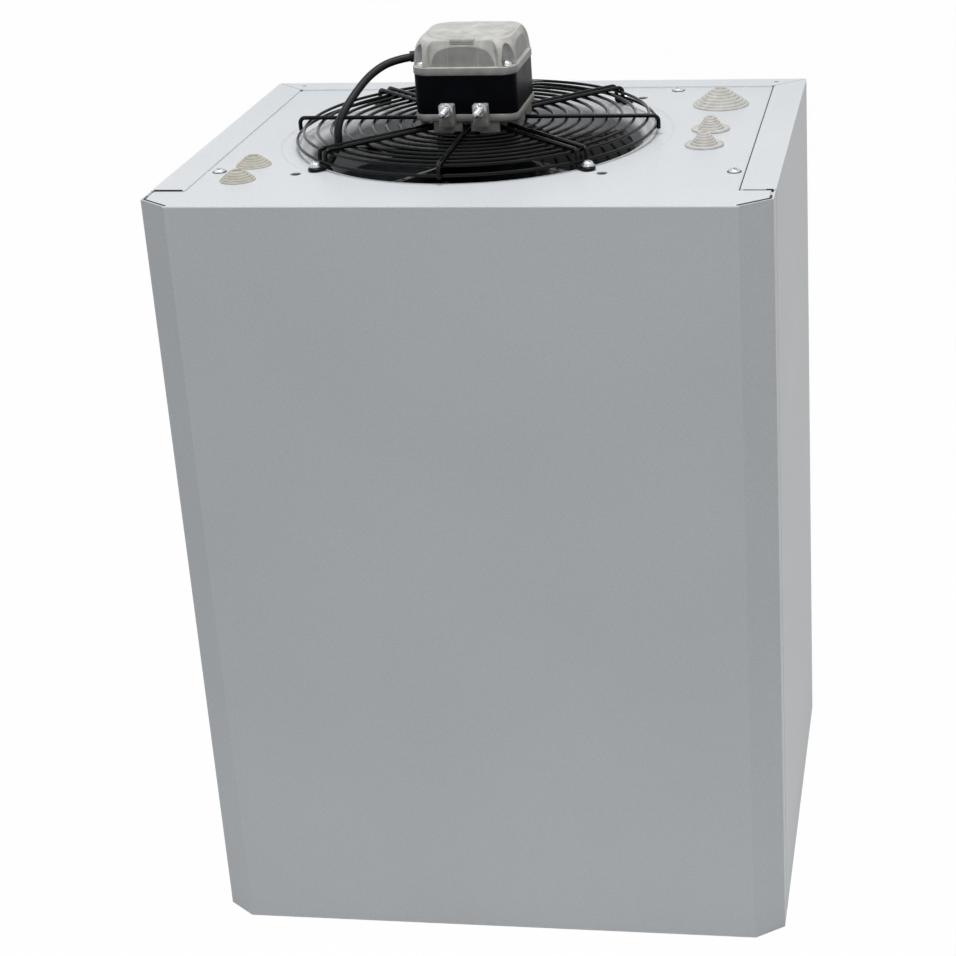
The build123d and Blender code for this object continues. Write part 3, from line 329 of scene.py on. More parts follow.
def die_cast(name, shade, shaded_sides=False):
    """Cast aluminium: warm grey, fine grain, dull clouds; with painted shade on the cap's upright cut faces and the
    band below them where asked.
    """
    f = new_finish(name, Metallic=0.08, Specular_IOR_Level=0.2)
    cloud = grain(f, 70.0, 5.0)
    if shaded_sides:
        paint_side_shade(f, cloud)
    else:
        colour_by(f, cloud, *cast_colours(shade))
    rough_by(f, cloud, 0.38, 0.56)
    relief(f, sums(f, grain(f, 900.0, 3.0), grain(f, 180.0, 3.0), 0.8), 0.00012)
    return f.material


def paint_side_shade(f, cloud):
    """Painted shade: darker greys of the casting on the cap's cut side faces, which lie at one distance from the
    fan's axis and stand upright, and on the band below them, where less light falls."""
    spot = f.nodes.new("ShaderNodeSeparateXYZ")
    f.links.new(f.place, spot.inputs["Vector"])
    facing = f.nodes.new("ShaderNodeSeparateXYZ")
    f.links.new(f.nodes["Texture Coordinate"].outputs["Normal"], facing.inputs["Vector"])
    off_axis = [figure(f, "ABSOLUTE", figure(f, "SUBTRACT", spot.outputs[axis], float(centre * MM)))
                for axis, centre in (("X", fan_axis[0]), ("Y", fan_axis[1]))]
    cut = figure(f, "COMPARE", figure(f, "MAXIMUM", *off_axis), cap_side * MM, 0.0002)
    upright = figure(f, "LESS_THAN", figure(f, "ABSOLUTE", facing.outputs["Z"]), 0.06)
    band = figure(f, "LESS_THAN", spot.outputs["Z"], float((panel_top + rim_top - 0.4) * MM))
    # painted shade mask: the upright cut faces and the band under the rim's top
    painted_shade_mask = figure(f, "MAXIMUM", figure(f, "MULTIPLY", cut, upright), band)
    both = f.nodes.new("ShaderNodeMix")
    both.data_type = "RGBA"
    f.links.new(painted_shade_mask, both.inputs["Factor"])
    for socket, shade in (("A", 1.0), ("B", 0.82)):
        f.links.new(ramp(f, cloud, *cast_colours(shade)), both.inputs[socket])
    f.links.new(both.outputs["Result"], f.shader.inputs["Base Color"])


def grained(name, noise, colours, rough, bump, finer=None, **sockets):
    """A finish from one noise, given as the arguments of grain: colour and roughness follow it, and so does the
    bump, unless a finer noise is given for that."""
    f = new_finish(name, **sockets)
    marks = grain(f, *noise)
    colour_by(f, marks, *((place, srgb(*colour)) for place, colour in colours))
    rough_by(f, marks, *rough)
    relief(f, grain(f, *finer) if finer else marks, bump)
    return f.material


def soft_rubber(name, light, dark):
    """Soft pale entry cap, slightly waxy, mottled at random."""
    return grained(name, (120.0, 4.0), ((0.35, dark), (0.7, light)), (0.45, 0.62), 0.00006, (900.0, 3.0),
                   Specular_IOR_Level=0.35, Subsurface_Weight=0.08, Subsurface_Scale=0.002)


turned, drawn, rolled = (1, 1, 6), (0.1, 1, 1), (1, 6, 1)  # how far the marks of each kind of metal are stretched
finishes = {
    "white_paint": white_paint(),
    "galvanised": galvanised(),
    "black_wire": gloss_black("black_wire_coat", srgb(6, 7, 8), 0.12, 0.00003, 0.17),
    "black_blade": gloss_black("black_fan_paint", srgb(9, 10, 12), 0.07, 0.00003, 0.1),
    "black_body": gloss_black("black_motor_coat", srgb(12, 13, 18), 0.3, 0.00004, 0.02),
    "die_cast": die_cast("cast_aluminium", 1.0, True),
    "zinc": grained("bright_zinc", (500.0, 4.0, (1, 1, 0.2)), ((0.3, (168, 172, 177)), (0.7, (222, 225, 228))),
                    (0.2, 0.38), 0.00003, Metallic=1.0),
    "steel": grained("machined_steel", (300.0, 4.0, turned), ((0.3, (130, 131, 133)), (0.7, (176, 177, 179))),
                     (0.25, 0.42), 0.00003, Metallic=1.0),
    "soft_rubber": soft_rubber("pale_rubber", (226, 225, 221), (204, 202, 197)),
    "black_rubber": grained("black_rubber", (140.0, 4.0), ((0.35, (14, 15, 16)), (0.75, (26, 27, 29))),
                            (0.36, 0.5), 0.00006, (700.0, 2.0), Specular_IOR_Level=0.25),
    "grey_plastic": grained("moulded_grey_plastic", (60.0, 3.0), ((0.35, (168, 172, 174)), (0.7, (182, 185, 187))),
                            (0.45, 0.58), 0.00008, (1300.0, 2.0), Specular_IOR_Level=0.45),
    "fin_aluminium": grained("fin_aluminium", (120.0, 4.0, rolled),
                             ((0.3, (196, 199, 202)), (0.7, (224, 226, 228))), (0.3, 0.45), 0.00005, Metallic=0.9),
    "copper": grained("copper_tube", (45.0, 5.0),
                      ((0.3, (160, 98, 68)), (0.55, (205, 134, 97)), (0.75, (226, 160, 122))),
                      (0.22, 0.42), 0.00004, (400.0,), Metallic=1.0),
    "brass_body": grained("machined_brass", (260.0, 4.0, (1, 1, 5)),
                          ((0.3, (186, 150, 84)), (0.7, (222, 192, 122))), (0.22, 0.38), 0.00003, Metallic=1.0),
    "laminations": grained("steel_laminations", (40.0, 2.0, (1, 1, 60)),
                           ((0.3, (80, 80, 84)), (0.7, (128, 128, 132))), (0.4, 0.55), 0.0001, Metallic=0.9),
    "stainless": grained("stainless_sheath", (300.0, 3.0, drawn), ((0.3, (150, 150, 150)), (0.7, (190, 190, 190))),
                         (0.25, 0.4), 0.00003, Metallic=1.0),
}
cream_rubber = soft_rubber("cream_rubber", (212, 210, 198), (192, 189, 176))
# A copy of the casting at a lower shade: painted shade for the lower cover under the motor.
shaded_cast_copy = die_cast("shaded_cast_aluminium", 0.8)

for part in frame["record"]["subparts"]:
    for place in frame["nodes"][part["node"]].material_slots:
        place.material = finishes[part["material_slot"]]


# ================================================================ wire guard
guard_height, spoke_radius, ring_radius = 17.0, 2.0, 1.5
ring_level = guard_height - spoke_radius - ring_radius + 0.3
inner_ring, ring_pitch, ring_count = 48.0, 13.0, 10
skirt_radius, skirt_level = 172.0, 6.5
spoke_start, spoke_bend, pair_half = 34.0, 5.0, 5.2
single_end, double_end = 175.2, 170.7
bolt_circle, eye_level, eye_radius = 179.0, 0.8, 5.2


def guard_ring(radius, level, r):
    """A closed round wire on a circle about the fan's axis."""
    a = np.linspace(0, 2 * math.pi, 160, endpoint=False)
    path = np.stack([radius * np.cos(a), radius * np.sin(a), level + 0 * a], -1)
    return wire(path, (0, 0, 1), r, closed=True)


def spoke_run(end):
    """The line of a spoke: straight outwards and then a quarter bend down at its end."""
    corner = end - spoke_bend
    run = np.linspace([spoke_start, 0, guard_height], [corner, 0, guard_height], 30)
    bend = arc((corner, 0, guard_height - spoke_bend), spoke_bend, 90, 0, 9, (1, 0, 0), (0, 0, 1))
    return np.concatenate([run, bend[1:]])


def single_spoke():
    """A spoke that goes down past the skirt ring."""
    foot = np.array([[single_end, 0, 9.0], [single_end, 0, 5.0]])
    return wire(np.concatenate([spoke_run(single_end), foot]), (0, 1, 0), spoke_radius, 12)


def double_spoke():
    """Two wires bent down to the panel and out again, and the loop between them that the screw goes through."""
    foot = arc((double_end + 3, 0, eye_level + 3), 3, 180, 270, 7, (1, 0, 0), (0, 0, 1))
    leg = wire(np.concatenate([spoke_run(double_end), foot]), (0, 1, 0), spoke_radius, 12)
    legs = [moved(leg, (0, side * pair_half, 0)) for side in (-1, 1)]
    inner = double_end + 1.5
    out = np.linspace([inner, -eye_radius, eye_level], [bolt_circle, -eye_radius, eye_level], 4)
    back = np.linspace([bolt_circle, eye_radius, eye_level], [inner, eye_radius, eye_level], 4)
    turn = arc((bolt_circle, 0, eye_level), eye_radius, -90, 90, 21, (1, 0, 0), (0, 1, 0))
    loop = np.concatenate([out, turn[1:], back[1:]])
    return legs + [wire(loop, (0, 0, 1), spoke_radius * 0.98, 12)]


guard_parts = [guard_ring(inner_ring + ring_pitch * i, ring_level, ring_radius) for i in range(ring_count)]
guard_parts.append(guard_ring(skirt_radius, skirt_level, ring_radius))
guard_parts += around(single_spoke(), 4)
for part in double_spoke():
    guard_parts += around(part, 4, 45)
piece("guard_wires", guard_parts, finishes["black_wire"], "casing", ["fan_guard"])


# ================================================================ screws and nuts
def cross_screw(head, height, shank, length, slot_reach=0.62, slot_half=0.13):
    """Pan head with a cross recess. Height over the radius is a flattened dome, less a cross-shaped pit whose
    depth fades over its edges; below it a plain shank."""
    a = np.linspace(0, 2 * math.pi, 64, endpoint=False)
    r = np.linspace(0, 1, 22)[:, None]
    x, y = r * np.cos(a), r * np.sin(a)
    dome = height * (1 - 0.55 * r ** 2.6 - 0.45 * r ** 12)
    arm = np.minimum(np.abs(x), np.abs(y))
    pit = ease((slot_half - arm) / 0.07 + 0.5) * ease((slot_reach - r) / 0.12 + 0.3)
    z = dome - 0.55 * height * pit
    top = np.stack([head * x, head * y, z], -1)[::-1]
    low = lathe([(head, 0), (shank, 0), (shank, -length), (0, -length)], 64)[0].reshape(4, 64, 3)
    return sheet_of(np.concatenate([low[::-1], top]), close_cols=True)


def hex_nut(across, height, bore):
    """A hexagon whose corners are cut back by a cone at both ends: the radius at each angle is the hexagon's,
    held under the cone's radius at that height."""
    a = np.linspace(0, 2 * math.pi, 72, endpoint=False)
    flat = across / 2 / np.cos((a + math.pi / 6) % (math.pi / 3) - math.pi / 6)
    levels = np.array([0.0, 0.0, 0.35, 0.7, height - 0.7, height - 0.35, height, height])
    cone = across / 2 + np.array([0.0, 0.0, 0.4, 1.2, 1.2, 0.4, 0.0, 0.0])
    r = np.minimum(flat[None], cone[:, None])
    r[0] = r[-1] = bore
    points = np.stack([r * np.cos(a), r * np.sin(a), np.repeat(levels[:, None], 72, 1)], -1)
    return sheet_of(np.concatenate([points, points[:1]]), close_cols=True)


def threaded_rod(radius, length, pitch=0.8, depth=0.28):
    """A screw thread: the radius falls and rises with the height less the angle's share of the pitch."""
    a = np.linspace(0, 2 * math.pi, 24, endpoint=False)[None]
    z = np.arange(0, length, pitch / 6)[:, None]
    wave = np.abs(((z / pitch - a / (2 * math.pi)) % 1) - 0.5) * 2
    end = ease((length - z) / 0.9) * 0.35 + 0.65
    r = (radius - depth * wave) * np.minimum(end, 1)
    points = np.stack([r * np.cos(a), r * np.sin(a), z + 0 * a], -1)
    tip = points[-1:] * np.array([0, 0, 1.0])
    foot = points[:1] * np.array([0, 0, 1.0])
    return sheet_of(np.concatenate([foot, points, tip]), close_cols=True)


def flat_ring(bore, rim, height, edge, sides):
    """A washer: a rectangle with rounded corners turned about the upright axis."""
    return lathe(smoothed([(bore, 0), (rim, 0), (rim, height), (bore, height), (bore, 0)], edge), sides)


eye_top = eye_level + spoke_radius
washer_height = 1.5
guard_screw = moved(cross_screw(5.2, 3.6, 2.5, 14.0), (bolt_circle, 0, eye_top + washer_height))
piece("guard_cross_screws", around(guard_screw, 4, 45), finishes["zinc"], "casing", ["guard_screws"])
washer = flat_ring(2.7, 6.0, washer_height, 0.35, 48)
piece("guard_flat_washers", around(moved(washer, (bolt_circle, 0, eye_top)), 4, 45), finishes["zinc"], "casing",
      ["guard_washers"])

panel_screw_places = ((-238.0, -114.0), (238.0, -119.0), (-152.0, 191.0), (152.0, 191.0))
# A thin black ring showing round each panel screw's head paints the shade under the head.
screw_shade_ring = flat_ring(2.6, 6.6, 0.5, 0.2, 40)
piece("panel_screw_shade_rings", [moved(screw_shade_ring, (x, y, 0)) for x, y in panel_screw_places], finishes["black_rubber"],
      "casing", origin=panel_origin)
panel_screw = cross_screw(5.8, 2.9, 2.4, 9.0, 0.66, 0.16)
panel_screws = [moved(panel_screw, (x, y, 0.4), turn_z(25 * i + 10)) for i, (x, y) in enumerate(panel_screw_places)]
piece("panel_cross_screws", panel_screws, finishes["zinc"], "casing", ["panel_screws"], origin=panel_origin)

cap_screw_place = 40.3
cap_washer = flat_ring(2.4, 5.9, 1.1, 0.3, 48)
cap_screw_parts = []
for part, level in ((cap_washer, rim_top), (cross_screw(5.2, 3.8, 2.2, 46.0), rim_top + 1.1)):
    cap_screw_parts += around(moved(part, (cap_screw_place, cap_screw_place, level)), 4)
piece("motor_cap_cross_screws", cap_screw_parts, finishes["zinc"], "casing", ["motor_cap_screws"])

to_front = np.array([[1, 0, 0], [0, 0, -1], [0, 1, 0]])
ear_places, ear_face, stud_level = (-16.3, 15.8), -58.0, 37.6
studs = [moved(threaded_rod(3.0, 24.0, 1.0, 0.4), (x, ear_face + 4, stud_level), to_front) for x in ear_places]
piece("motor_threaded_studs", studs, finishes["zinc"], "casing", ["motor_studs"])
stud_washer_height = 1.4
stud_washer = flat_ring(3.1, 6.6, stud_washer_height, 0.3, 48)
stud_nut = moved(hex_nut(10.0, 5.2, 3.05), matrix=turn_z(12))
nuts = []
for x in ear_places:
    nuts.append(moved(stud_washer, (x, ear_face, stud_level), to_front))
    nuts.append(moved(stud_nut, (x, ear_face - stud_washer_height, stud_level), to_front))
piece("motor_stud_nuts", nuts, finishes["zinc"], "casing", ["stud_nuts"], crease=25)


# ================================================================ motor cap
def square_reach(a, half, corner):
    """Distance from the centre to the edge of a square with round corners, at each angle: to the flat side, or in
    the corner to the circle, by the larger root of its quadratic."""
    b = np.abs((a + math.pi / 4) % (math.pi / 2) - math.pi / 4)
    flat = half / np.cos(b)
    d = (half - corner) * math.sqrt(2)
    away = math.pi / 4 - b
    inside = np.maximum(corner ** 2 - (d * np.sin(away)) ** 2, 0)
    bow = d * np.cos(away) + np.sqrt(inside)
    in_corner = flat * np.sin(b) > half - corner
    return np.where(in_corner, bow, flat)


def cap_shell():
    """The cast cap as one surface over the angle and a profile.

    Above the rim a dome goes by straight lines from a circle to the square plate with large round corners, and four
    upright planes cut it, which leaves an arch on each side. The lesser reach of the two is taken. At each corner a
    column stands out to a leaning square, with a step at both edges and a hollow niche, half an ellipsoid, for the
    screw. The top is a height over the plan: a raised disc inside a groove, and ring-shaped ridges."""
    t = np.linspace(0, 2 * math.pi, 540, endpoint=False)
    a = (t + 0.1 * np.sin(4 * t))[None]
    rim_lines = [(44.0, 11.0, cap_low), (49.0, 15.4, cap_low), (49.7, 15.9, cap_low + 0.4),
                 (50.0, 16.0, cap_low + 1.1), (50.0, 16.0, cap_low + 3.5), (50.0, 16.0, rim_top - 1.0),
                 (49.8, 15.9, rim_top - 0.3), (49.4, 15.7, rim_top)]
    rim_reach = np.stack([square_reach(a[0], half, corner) for half, corner, _ in rim_lines])
    rim_z = np.repeat(np.array([level for _, _, level in rim_lines])[:, None], a.size, 1)

    up = cap_rise * np.sin(np.linspace(0, math.pi / 2, 60))[:, None]
    s = up / cap_rise
    z = rim_top + up + 0 * a
    draw_in = 0.8 * s ** 10
    dome_foot, plate_half, plate_corner = 55.5, 44.0, 20.0
    dome = dome_foot * (1 - s) + s * square_reach(a, plate_half, plate_corner) - draw_in
    side = (a + math.pi / 4) % (math.pi / 2) - math.pi / 4
    plane = cap_side / np.cos(side)
    blend_width = 0.2
    wall = -blend_width * np.logaddexp(-dome / blend_width, -plane / blend_width)
    rib_place, rib_height, rib_half = 14.3, 0.3, 0.7
    across = wall * np.sin(side)
    wall = wall + rib_height * ease(1 - np.abs(np.abs(across) - rib_place) / rib_half)

    corner = a % (math.pi / 2) - math.pi / 4
    column_half, column_step = 10.8, 1.1
    column = square_reach(a, 49.2 - 1.5 * s - 3.7 * s ** 4, 16 + 4 * s) - draw_in
    aside = np.abs(column * np.sin(corner))
    reach = wall + ease((column_half - aside) / column_step) * np.maximum(column - wall, 0)
    niche_half, niche_height, niche_depth = 7.4, 20.5, 11.0
    niche = 1 - (aside / niche_half) ** 2 - (up / niche_height) ** 2
    reach = reach - niche_depth * np.maximum(niche, 0) ** 0.65

    share = np.linspace(1, 0, 96)[1:, None]
    top_reach = reach[-1:] * share
    x, y = top_reach * np.cos(a), top_reach * np.sin(a)
    d = np.hypot(x, y)
    disc_edge, groove_place, outer_ridge, inner_ridge = 41.0, 41.6, 30.5, 20.0
    three_parts = ease(np.cos(3 * a) * 2 + 1)
    ridge = ease(1 - np.abs(d - inner_ridge) / 1.3) + 0.8 * ease(1 - np.abs(d - outer_ridge) / 1.1) * three_parts
    groove = ease(1 - np.abs(d - groove_place) / 1.0)
    top_z = rim_top + cap_rise + 0.8 * ease((disc_edge - d) / 0.8) - 0.5 * groove + 0.6 * ridge
    top_z = top_z - 0.5 * ease((18.0 - d) / 0.8) + 0.5 * ease((11.0 - d) / 0.8)
    rows_r = np.concatenate([rim_reach, reach, top_reach])
    rows_z = np.concatenate([rim_z, z, top_z])
    return sheet_of(np.stack([rows_r * np.cos(a), rows_r * np.sin(a), rows_z], -1), close_cols=True)


def rounded_block(width, height, corner, depth, edge):
    """A plate with round corners and round edges, its face upwards: a loop of four quarter circles at each level,
    drawn in by the inset of the edge, and closed by a point at both ends."""
    turn = np.radians(np.linspace(0, 90, 7))
    loop_x, loop_y, out_x, out_y = [], [], [], []
    for i, (sx, sy) in enumerate(((1, 1), (-1, 1), (-1, -1), (1, -1))):
        loop_x += [sx * (width / 2 - corner)] * 7
        loop_y += [sy * (height / 2 - corner)] * 7
        out_x += list(np.cos(turn + i * math.pi / 2))
        out_y += list(np.sin(turn + i * math.pi / 2))
    loop_x, loop_y, out_x, out_y = (np.array(v)[None] for v in (loop_x, loop_y, out_x, out_y))
    inset = edge * np.array([1.0, 0.3, 0.0, 0.0, 0.3, 1.0])[:, None]
    level = np.array([0, 0.3 * edge, edge, depth - edge, depth - 0.3 * edge, depth])[:, None]
    r = corner - inset
    rows = np.stack([loop_x + r * out_x, loop_y + r * out_y, level + 0 * out_x], -1)
    shut = np.array([0, 0, 1.0])
    return sheet_of(np.concatenate([rows[:1] * shut, rows, rows[-1:] * shut]), close_cols=True)


def cap_tab():
    """The raised tab at the front of the top, with a frame round a sunken field on its face."""
    block = moved(rounded_block(23.0, 8.0, 1.2, 5.0, 0.6), (0, -41.8, rim_top + cap_rise - 3.5))
    bar = rounded_block(20.0, 1.0, 0.45, 0.8, 0.2)
    return [block] + [moved(bar, (0, y, rim_top + cap_rise + 0.7)) for y in (-38.6, -45.0)]


piece("motor_cast_cap", [cap_shell()] + cap_tab(), finishes["die_cast"], "casing", ["motor_cap"],
      crease=32)


# ================================================================ motor lower cover
cover_low, cover_high, leg_place, leg_low, boss_low = 24.2, 31.5, 29.0, 11.0, 12.0


def square_band(lines, steps):
    """Closed loops about the axis, each with its level: a square with round corners, or a circle where the corner
    is as large as the half width."""
    a = np.linspace(0, 2 * math.pi, steps, endpoint=False)
    rows = []
    for half, corner, level in lines:
        r = square_reach(a, half, corner)
        rows.append(np.stack([r * np.cos(a), r * np.sin(a), np.full(steps, level)], -1))
    return sheet_of(np.stack(rows), close_rows=True, close_cols=True)


cover_bore, motor_half, motor_corner = 14.0, 50.0, 16.0
cover_lines = [(cover_bore, cover_bore, cover_low), (48.8, 15.2, cover_low), (49.6, 15.8, cover_low + 0.4),
               (motor_half, motor_corner, cover_low + 1.3), (motor_half, motor_corner, cover_high - 1.0),
               (49.7, 15.8, cover_high - 0.3), (49.0, 15.4, cover_high), (cover_bore, cover_bore, cover_high)]
leg = lathe(smoothed([(0, leg_low), (6.2, leg_low), (7.0, 15.0), (7.6, 21.0), (11.0, cover_low + 0.6),
                      (0, cover_low + 0.6)], 1.2), 40)
boss = lathe(smoothed([(10.9, boss_low), (14.6, boss_low), (15.0, 20.0), (19.0, cover_low + 0.5),
                       (10.9, cover_low + 0.5), (10.9, boss_low)], 1.0), 56)
cover_parts = [square_band(cover_lines, 240), boss] + around(moved(leg, (leg_place, leg_place, 0)), 4)
skirt = moved(rounded_block(27.5, 12.0, 1.0, 3.2, 0.5), matrix=to_front)
for side in (-1, 1):
    cover_parts += around(moved(skirt, (side * 17.75, -44.6, 18.9)), 4)
ear = moved(rounded_block(14.5, 21.0, 1.6, 9.0, 0.7), matrix=to_front)
for x in ear_places:
    cover_parts.append(moved(ear, (x - 0.2, ear_face + 9.0, 31.8)))

sleeve_low, sleeve_high = cover_high + 0.1, cap_low - 0.1
sleeve = square_band([(45.4, 9.0, sleeve_low), (48.3, 11.2, sleeve_low), (48.6, 11.5, sleeve_low + 0.4),
                      (48.6, 11.5, 45.0), (48.6, 11.5, 56.0), (48.6, 11.5, sleeve_high - 0.4),
                      (48.3, 11.2, sleeve_high), (45.4, 9.0, sleeve_high)], 288)
piece("motor_coated_sleeve", [sleeve], finishes["black_body"], "casing", ["motor_body"])
# The cover takes the darker copy of the casting, which is painted shade.
piece("motor_cast_cover", cover_parts, shaded_cast_copy, "casing", ["motor_lower_cover"], crease=40)


# ================================================================ entry caps
def step_cap(rim, base, tip, height, steps, hole, flange=2.2, flare=0.0):
    """Turned profile: a neck in the panel's hole, a rim with a rounded edge, then steps that narrow to the tip,
    each a quarter of an ellipse, and a dimple in the tip."""
    rise, width = (height - flange) / steps, (base - tip) / steps
    neck = -4.5
    corners = [(0, neck), (hole, neck), (hole, 0), (rim, 0), (rim, flange * 0.6 + flare),
               (rim - 1.6, flange + flare)]
    if rim - base > 3:
        corners += [(rim - 3.0, flange * 0.75), (base + 0.8, flange * 0.75)]
    line = smoothed(corners + [(base, flange)], 0.8, 4)
    turn = np.radians(np.linspace(0, 90, 7))
    for i in range(steps):
        r, z = base - i * width, flange + i * rise
        step = np.stack([r - 0.86 * width * (1 - np.cos(turn)), z + rise * np.sin(turn)], -1)
        line = np.concatenate([line, step])
    edge, top = line[-1]
    dimple = smoothed([(edge, top), (edge - 1.0, top), (edge - 1.5, top - 2.4), (0, top - 2.6)], 0.6, 4)
    return lathe(np.concatenate([line, dimple[1:]]), 72)


def entry_caps(name, cap, places, finish, replaced):
    """The same cap at each place on the panel."""
    piece(name, [moved(cap, (x, y, 0)) for x, y in places], finish, "casing", [replaced],
          origin=panel_origin)


pipe_x, cable_x = 201.5, -212.5
entry_caps("suction_entry_cap", step_cap(27.8, 25.4, 6.0, 16.2, 6, 24.3), [(pipe_x, 130.0)],
           finishes["soft_rubber"], "suction_line_grommet")
entry_caps("line_entry_caps", step_cap(18.4, 12.6, 4.2, 12.6, 5, 15.3, 1.9, flare=0.7),
           [(pipe_x, 31.0), (pipe_x, -27.0)], finishes["soft_rubber"], "line_entry_grommets")
entry_caps("cable_entry_caps", step_cap(16.5, 14.8, 5.6, 8.8, 4, 13.8, 1.6), [(cable_x, -141.0), (cable_x, -90.0)],
           cream_rubber, "cable_entry_grommets")


# ================================================================ seams of the casing: dark strands and plugs that paint the shade in open seams and holes
lip_line, window_side, window_back = -184.5, 249.0, 202.5
seam_line = lip_line + 1.3


def seam_shade_strand(points, radius, level):
    """A dark round strand that paints the shade of an open seam: along straight runs, at a level over the panel."""
    runs = [np.linspace(p, q, 12, endpoint=False) for p, q in zip(points[:-1], points[1:])]
    path = np.concatenate(runs + [[points[-1]]])
    return wire(np.column_stack([path, np.full(len(path), level)]), (0, 0, 1), radius, 8)


# Dark plugs in the relief holes and slots paint the shade of the casing's inside seen through them.
relief_hole_shade_plug = lathe([(0, -0.3), (1.75, -0.3), (1.75, 0.7), (0, 0.7)], 20)
slot_shade_plug = rounded_block(4.8, 1.6, 0.7, 1.0, 0.2)
# Painted shade: dark strands along the open seams at the front corners and along the lip.
seam_shades = []
for side, corner_radius in ((-1, 1.35), (1, 1.6)):
    seam_shades.append(seam_shade_strand([(side * x, y) for x, y in ((250.5, -229.8), (277.0, -208.9), (277.3, -200.0))],
                           corner_radius, 0.5))
    seam_shades.append(seam_shade_strand([(side * 250.5, -231.2), (side * 250.8, -229.6)], 1.2, 0.0))
    seam_shades.append(moved(relief_hole_shade_plug, (side * window_side, window_back, 0)))
    seam_shades.append(moved(slot_shade_plug, (side * 250.0, 219.5, 0.7)))
lip_shade_runs = ((-276.5, -251.0, seam_line, 1.7, 1.1), (-248.0, 248.0, lip_line + 0.3, 0.35, 0.0),
             (252.0, 272.0, seam_line, 0.6, 1.3), (272.0, 277.5, seam_line, 1.6, 0.9))
for start, end, line, radius, level in lip_shade_runs:
    seam_shades.append(seam_shade_strand([(start, line), (end, line)], radius, level))
seam_shades.append(seam_shade_strand([(window_side - 0.7, lip_line + 1.0), (window_side - 0.7, window_back - 1.0)], 0.75, 0.6))
piece("corner_seam_shade_strands", seam_shades, finishes["black_rubber"], "casing", origin=panel_origin)


# ================================================================ fan wheel
blade_root, blade_tip, pitch_tip = 37.0, 151.0, 163.0
blade_level, blade_thick = -33.0, 2.4


def fan_blade():
    """A twisted, cambered blade with rounded edges.

    Across the chord the mean line is the camber times one less the square of the place on the chord; the thickness
    falls to nothing at both edges by a steep root. Pitch, chord and camber change along the span by straight lines
    through the root, the middle and the tip, and each section is laid on its own cylinder about the axis."""
    span = np.linspace(blade_root, blade_tip, 40)[:, None]
    ends = [blade_root, pitch_tip]
    pitch = np.radians(np.interp(span[:, 0], [blade_root, 95.5, pitch_tip], [36.0, 25.5, 18.0]))[:, None]
    half = np.interp(span[:, 0], ends, [28.0, 52.0])[:, None]
    camber = np.interp(span[:, 0], ends, [7.0, 5.0])[:, None]
    t = np.linspace(0, 2 * math.pi, 72, endpoint=False)[None]
    s = np.cos(t)
    skin = blade_thick / 2 * np.sign(np.sin(t)) * np.minimum(1, np.abs(np.sin(t)) ** 0.5 * 1.15)
    chord, lift = s * half, camber * (1 - s ** 2) + blade_thick / 2 + skin
    y = chord * np.cos(pitch) - lift * np.sin(pitch)
    z = blade_level + chord * np.sin(pitch) + lift * np.cos(pitch)
    x = np.sqrt(np.maximum(span ** 2 - y ** 2, 1.0))
    points = np.stack([x, y, z], -1)
    root, tip = (line.mean(1, keepdims=True).repeat(72, 1) for line in (points[:1], points[-1:]))
    return sheet_of(np.concatenate([root, points, tip]), close_cols=True)


hub_profile = smoothed([(4.05, 6), (34, 6), (40, 0), (40, -40), (37, -40), (37, -1), (33, 3), (9, 3), (9, -34),
                        (4.05, -34), (4.05, 6)], 2.0)
fan_parts = [lathe(hub_profile, 96)] + around(fan_blade(), 5, 12.0)
piece("fan_blades_and_hub", fan_parts, finishes["black_blade"], "fan", ["fan_wheel"])


# ================================================================ motor cable
cable_points = ((-63, 1, 814.5), (-89, -7, 813.5), (-110, -26, 804.5), (-124, -54, 786.5), (-135.0, -72.5, 766.5),
                (-134.1, -71.8, 743.3), (-161.4, -93.9, 711.6), (-176, -99, 675.5), (-188, -100, 650.5),
                (-207, -101, 641.5), (-229.5, -101, 641.5))
cable_thick = 0.0075
cable_line = bpy.data.curves.new("motor_lead", "CURVE")
cable_line.dimensions = "3D"
spline = cable_line.splines.new("NURBS")
spline.points.add(len(cable_points) - 1)
cable_weights = np.ones(len(cable_points))
spline.points.foreach_set("co", np.column_stack([np.array(cable_points) * MM, cable_weights]).ravel())
spline.order_u = 3
spline.use_endpoint_u = True
spline.resolution_u = 16
cable_line.bevel_depth = cable_thick / 2
cable_line.bevel_resolution = 5
cable_line.use_fill_caps = True
cable_line.materials.append(finishes["black_rubber"])
motor_lead = bpy.data.objects.new("motor_lead", cable_line)
bpy.context.scene.collection.objects.link(motor_lead)
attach(motor_lead, "casing")
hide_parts("motor_cable")


# ================================================================ surroundings
def backdrop_rays(f):
    """One for the rays of the camera, of reflections and of transmission, and nought for all others."""
    rays = f.nodes.new("ShaderNodeLightPath").outputs
    seen = figure(f, "MAXIMUM", rays["Is Camera Ray"], rays["Is Glossy Ray"])
    return figure(f, "MAXIMUM", seen, rays["Is Transmission Ray"])


floor_glow, sky_light, floor_half = 0.985, 0.225, 6.0
floor_finish = new_finish("pale_floor", Roughness=0.9, Specular_IOR_Level=0.1)
colour_by(floor_finish, grain(floor_finish, 3.0), (0.3, srgb(236, 236, 236)), (0.7, srgb(240, 240, 240)))
glow = floor_finish.nodes.new("ShaderNodeEmission")
glow.inputs["Strength"].default_value = 1.0
blend_node = floor_finish.nodes.new("ShaderNodeMixShader")
glow_share = figure(floor_finish, "MULTIPLY", backdrop_rays(floor_finish), floor_glow)
floor_finish.links.new(glow_share, blend_node.inputs["Fac"])
floor_finish.links.new(floor_finish.shader.outputs["BSDF"], blend_node.inputs[1])
floor_finish.links.new(glow.outputs["Emission"], blend_node.inputs[2])
floor_finish.links.new(blend_node.outputs["Shader"], floor_finish.nodes["Material Output"].inputs["Surface"])

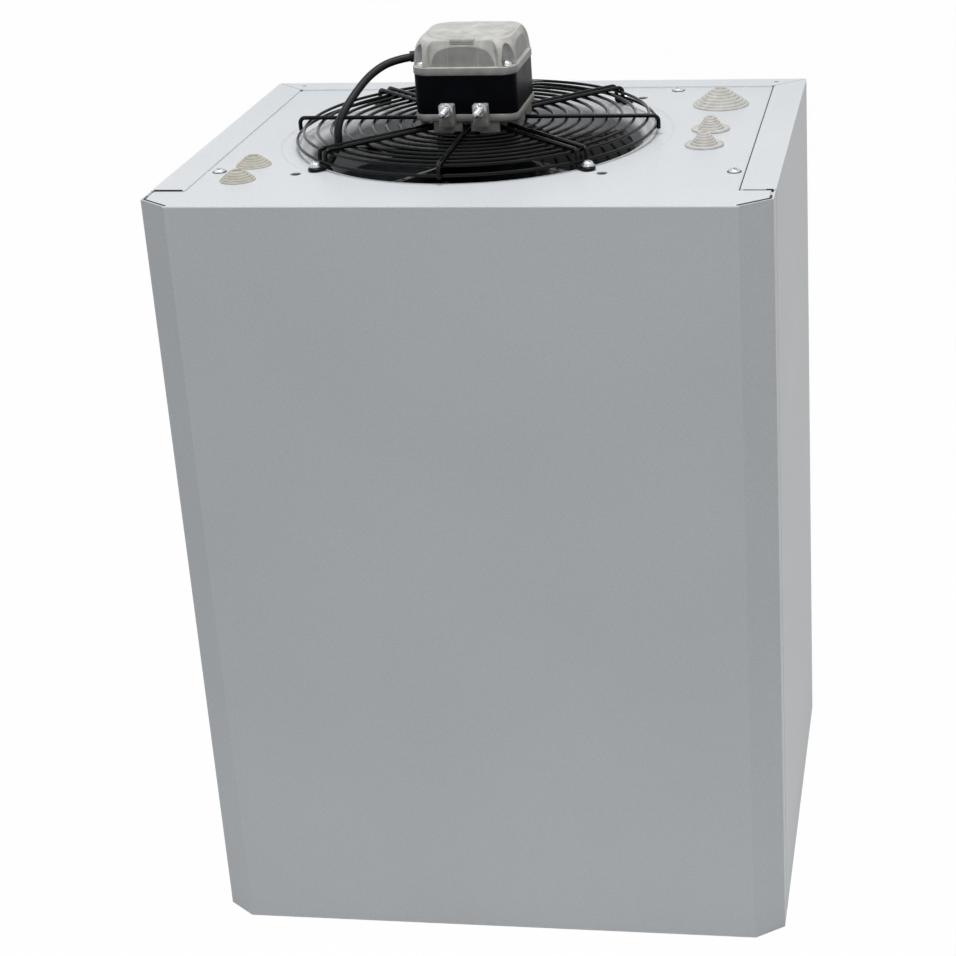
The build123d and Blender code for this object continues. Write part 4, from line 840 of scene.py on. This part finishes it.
floor_mesh = bpy.data.meshes.new("floor")
floor_corners = [(x * floor_half, y * floor_half, 0) for x, y in ((-1, -1), (1, -1), (1, 1), (-1, 1))]
floor_mesh.from_pydata(floor_corners, [], [(0, 1, 2, 3)])
floor_mesh.materials.append(floor_finish.material)
floor = bpy.data.objects.new("floor", floor_mesh)
bpy.context.scene.collection.objects.link(floor)

world = bpy.data.worlds.new("studio")
bpy.context.scene.world = world
world.use_nodes = True
sky = SimpleNamespace(nodes=world.node_tree.nodes, links=world.node_tree.links)
back = sky.nodes["Background"]
back.inputs["Color"].default_value = (1, 1, 1, 1)
level = sky.nodes.new("ShaderNodeMapRange")
level.inputs["To Min"].default_value = sky_light
level.inputs["To Max"].default_value = 1.0
sky.links.new(backdrop_rays(sky), level.inputs["Value"])
sky.links.new(level.outputs["Result"], back.inputs["Strength"])


def softbox(name, place, target, size, power):
    """A rectangular lamp that looks at a point."""
    lamp = bpy.data.lights.new(name, "AREA")
    lamp.shape = "RECTANGLE"
    lamp.size, lamp.size_y = size
    lamp.energy = power
    obj = bpy.data.objects.new(name, lamp)
    obj.location = place
    direction = Vector(target) - Vector(place)
    obj.rotation_euler = direction.to_track_quat("-Z", "Y").to_euler()
    bpy.context.scene.collection.objects.link(obj)


motor_middle = (0, 0, 0.8)
softbox("lamp_above", (0.0, -0.35, 3.1), (0, 0, 0.7), (0.9, 0.9), 31)
softbox("spark_left", (-1.1, -0.9, 2.9), motor_middle, (0.16, 0.16), 4.5)
softbox("spark_right", (1.2, -1.2, 2.4), motor_middle, (0.2, 0.2), 5.5)

camera_data = bpy.data.cameras.new("camera")
camera_data.lens = 83.338
camera_data.sensor_width = 36.0
camera_data.shift_x = -0.16
camera = bpy.data.objects.new("camera", camera_data)
camera.location = (0.42699, -2.02635, 1.25862)
camera.rotation_euler = [math.radians(angle) for angle in (66.88, 2.325, 7.77)]
bpy.context.scene.collection.objects.link(camera)
bpy.context.scene.camera = camera
bpy.context.scene.view_settings.view_transform = "Standard"
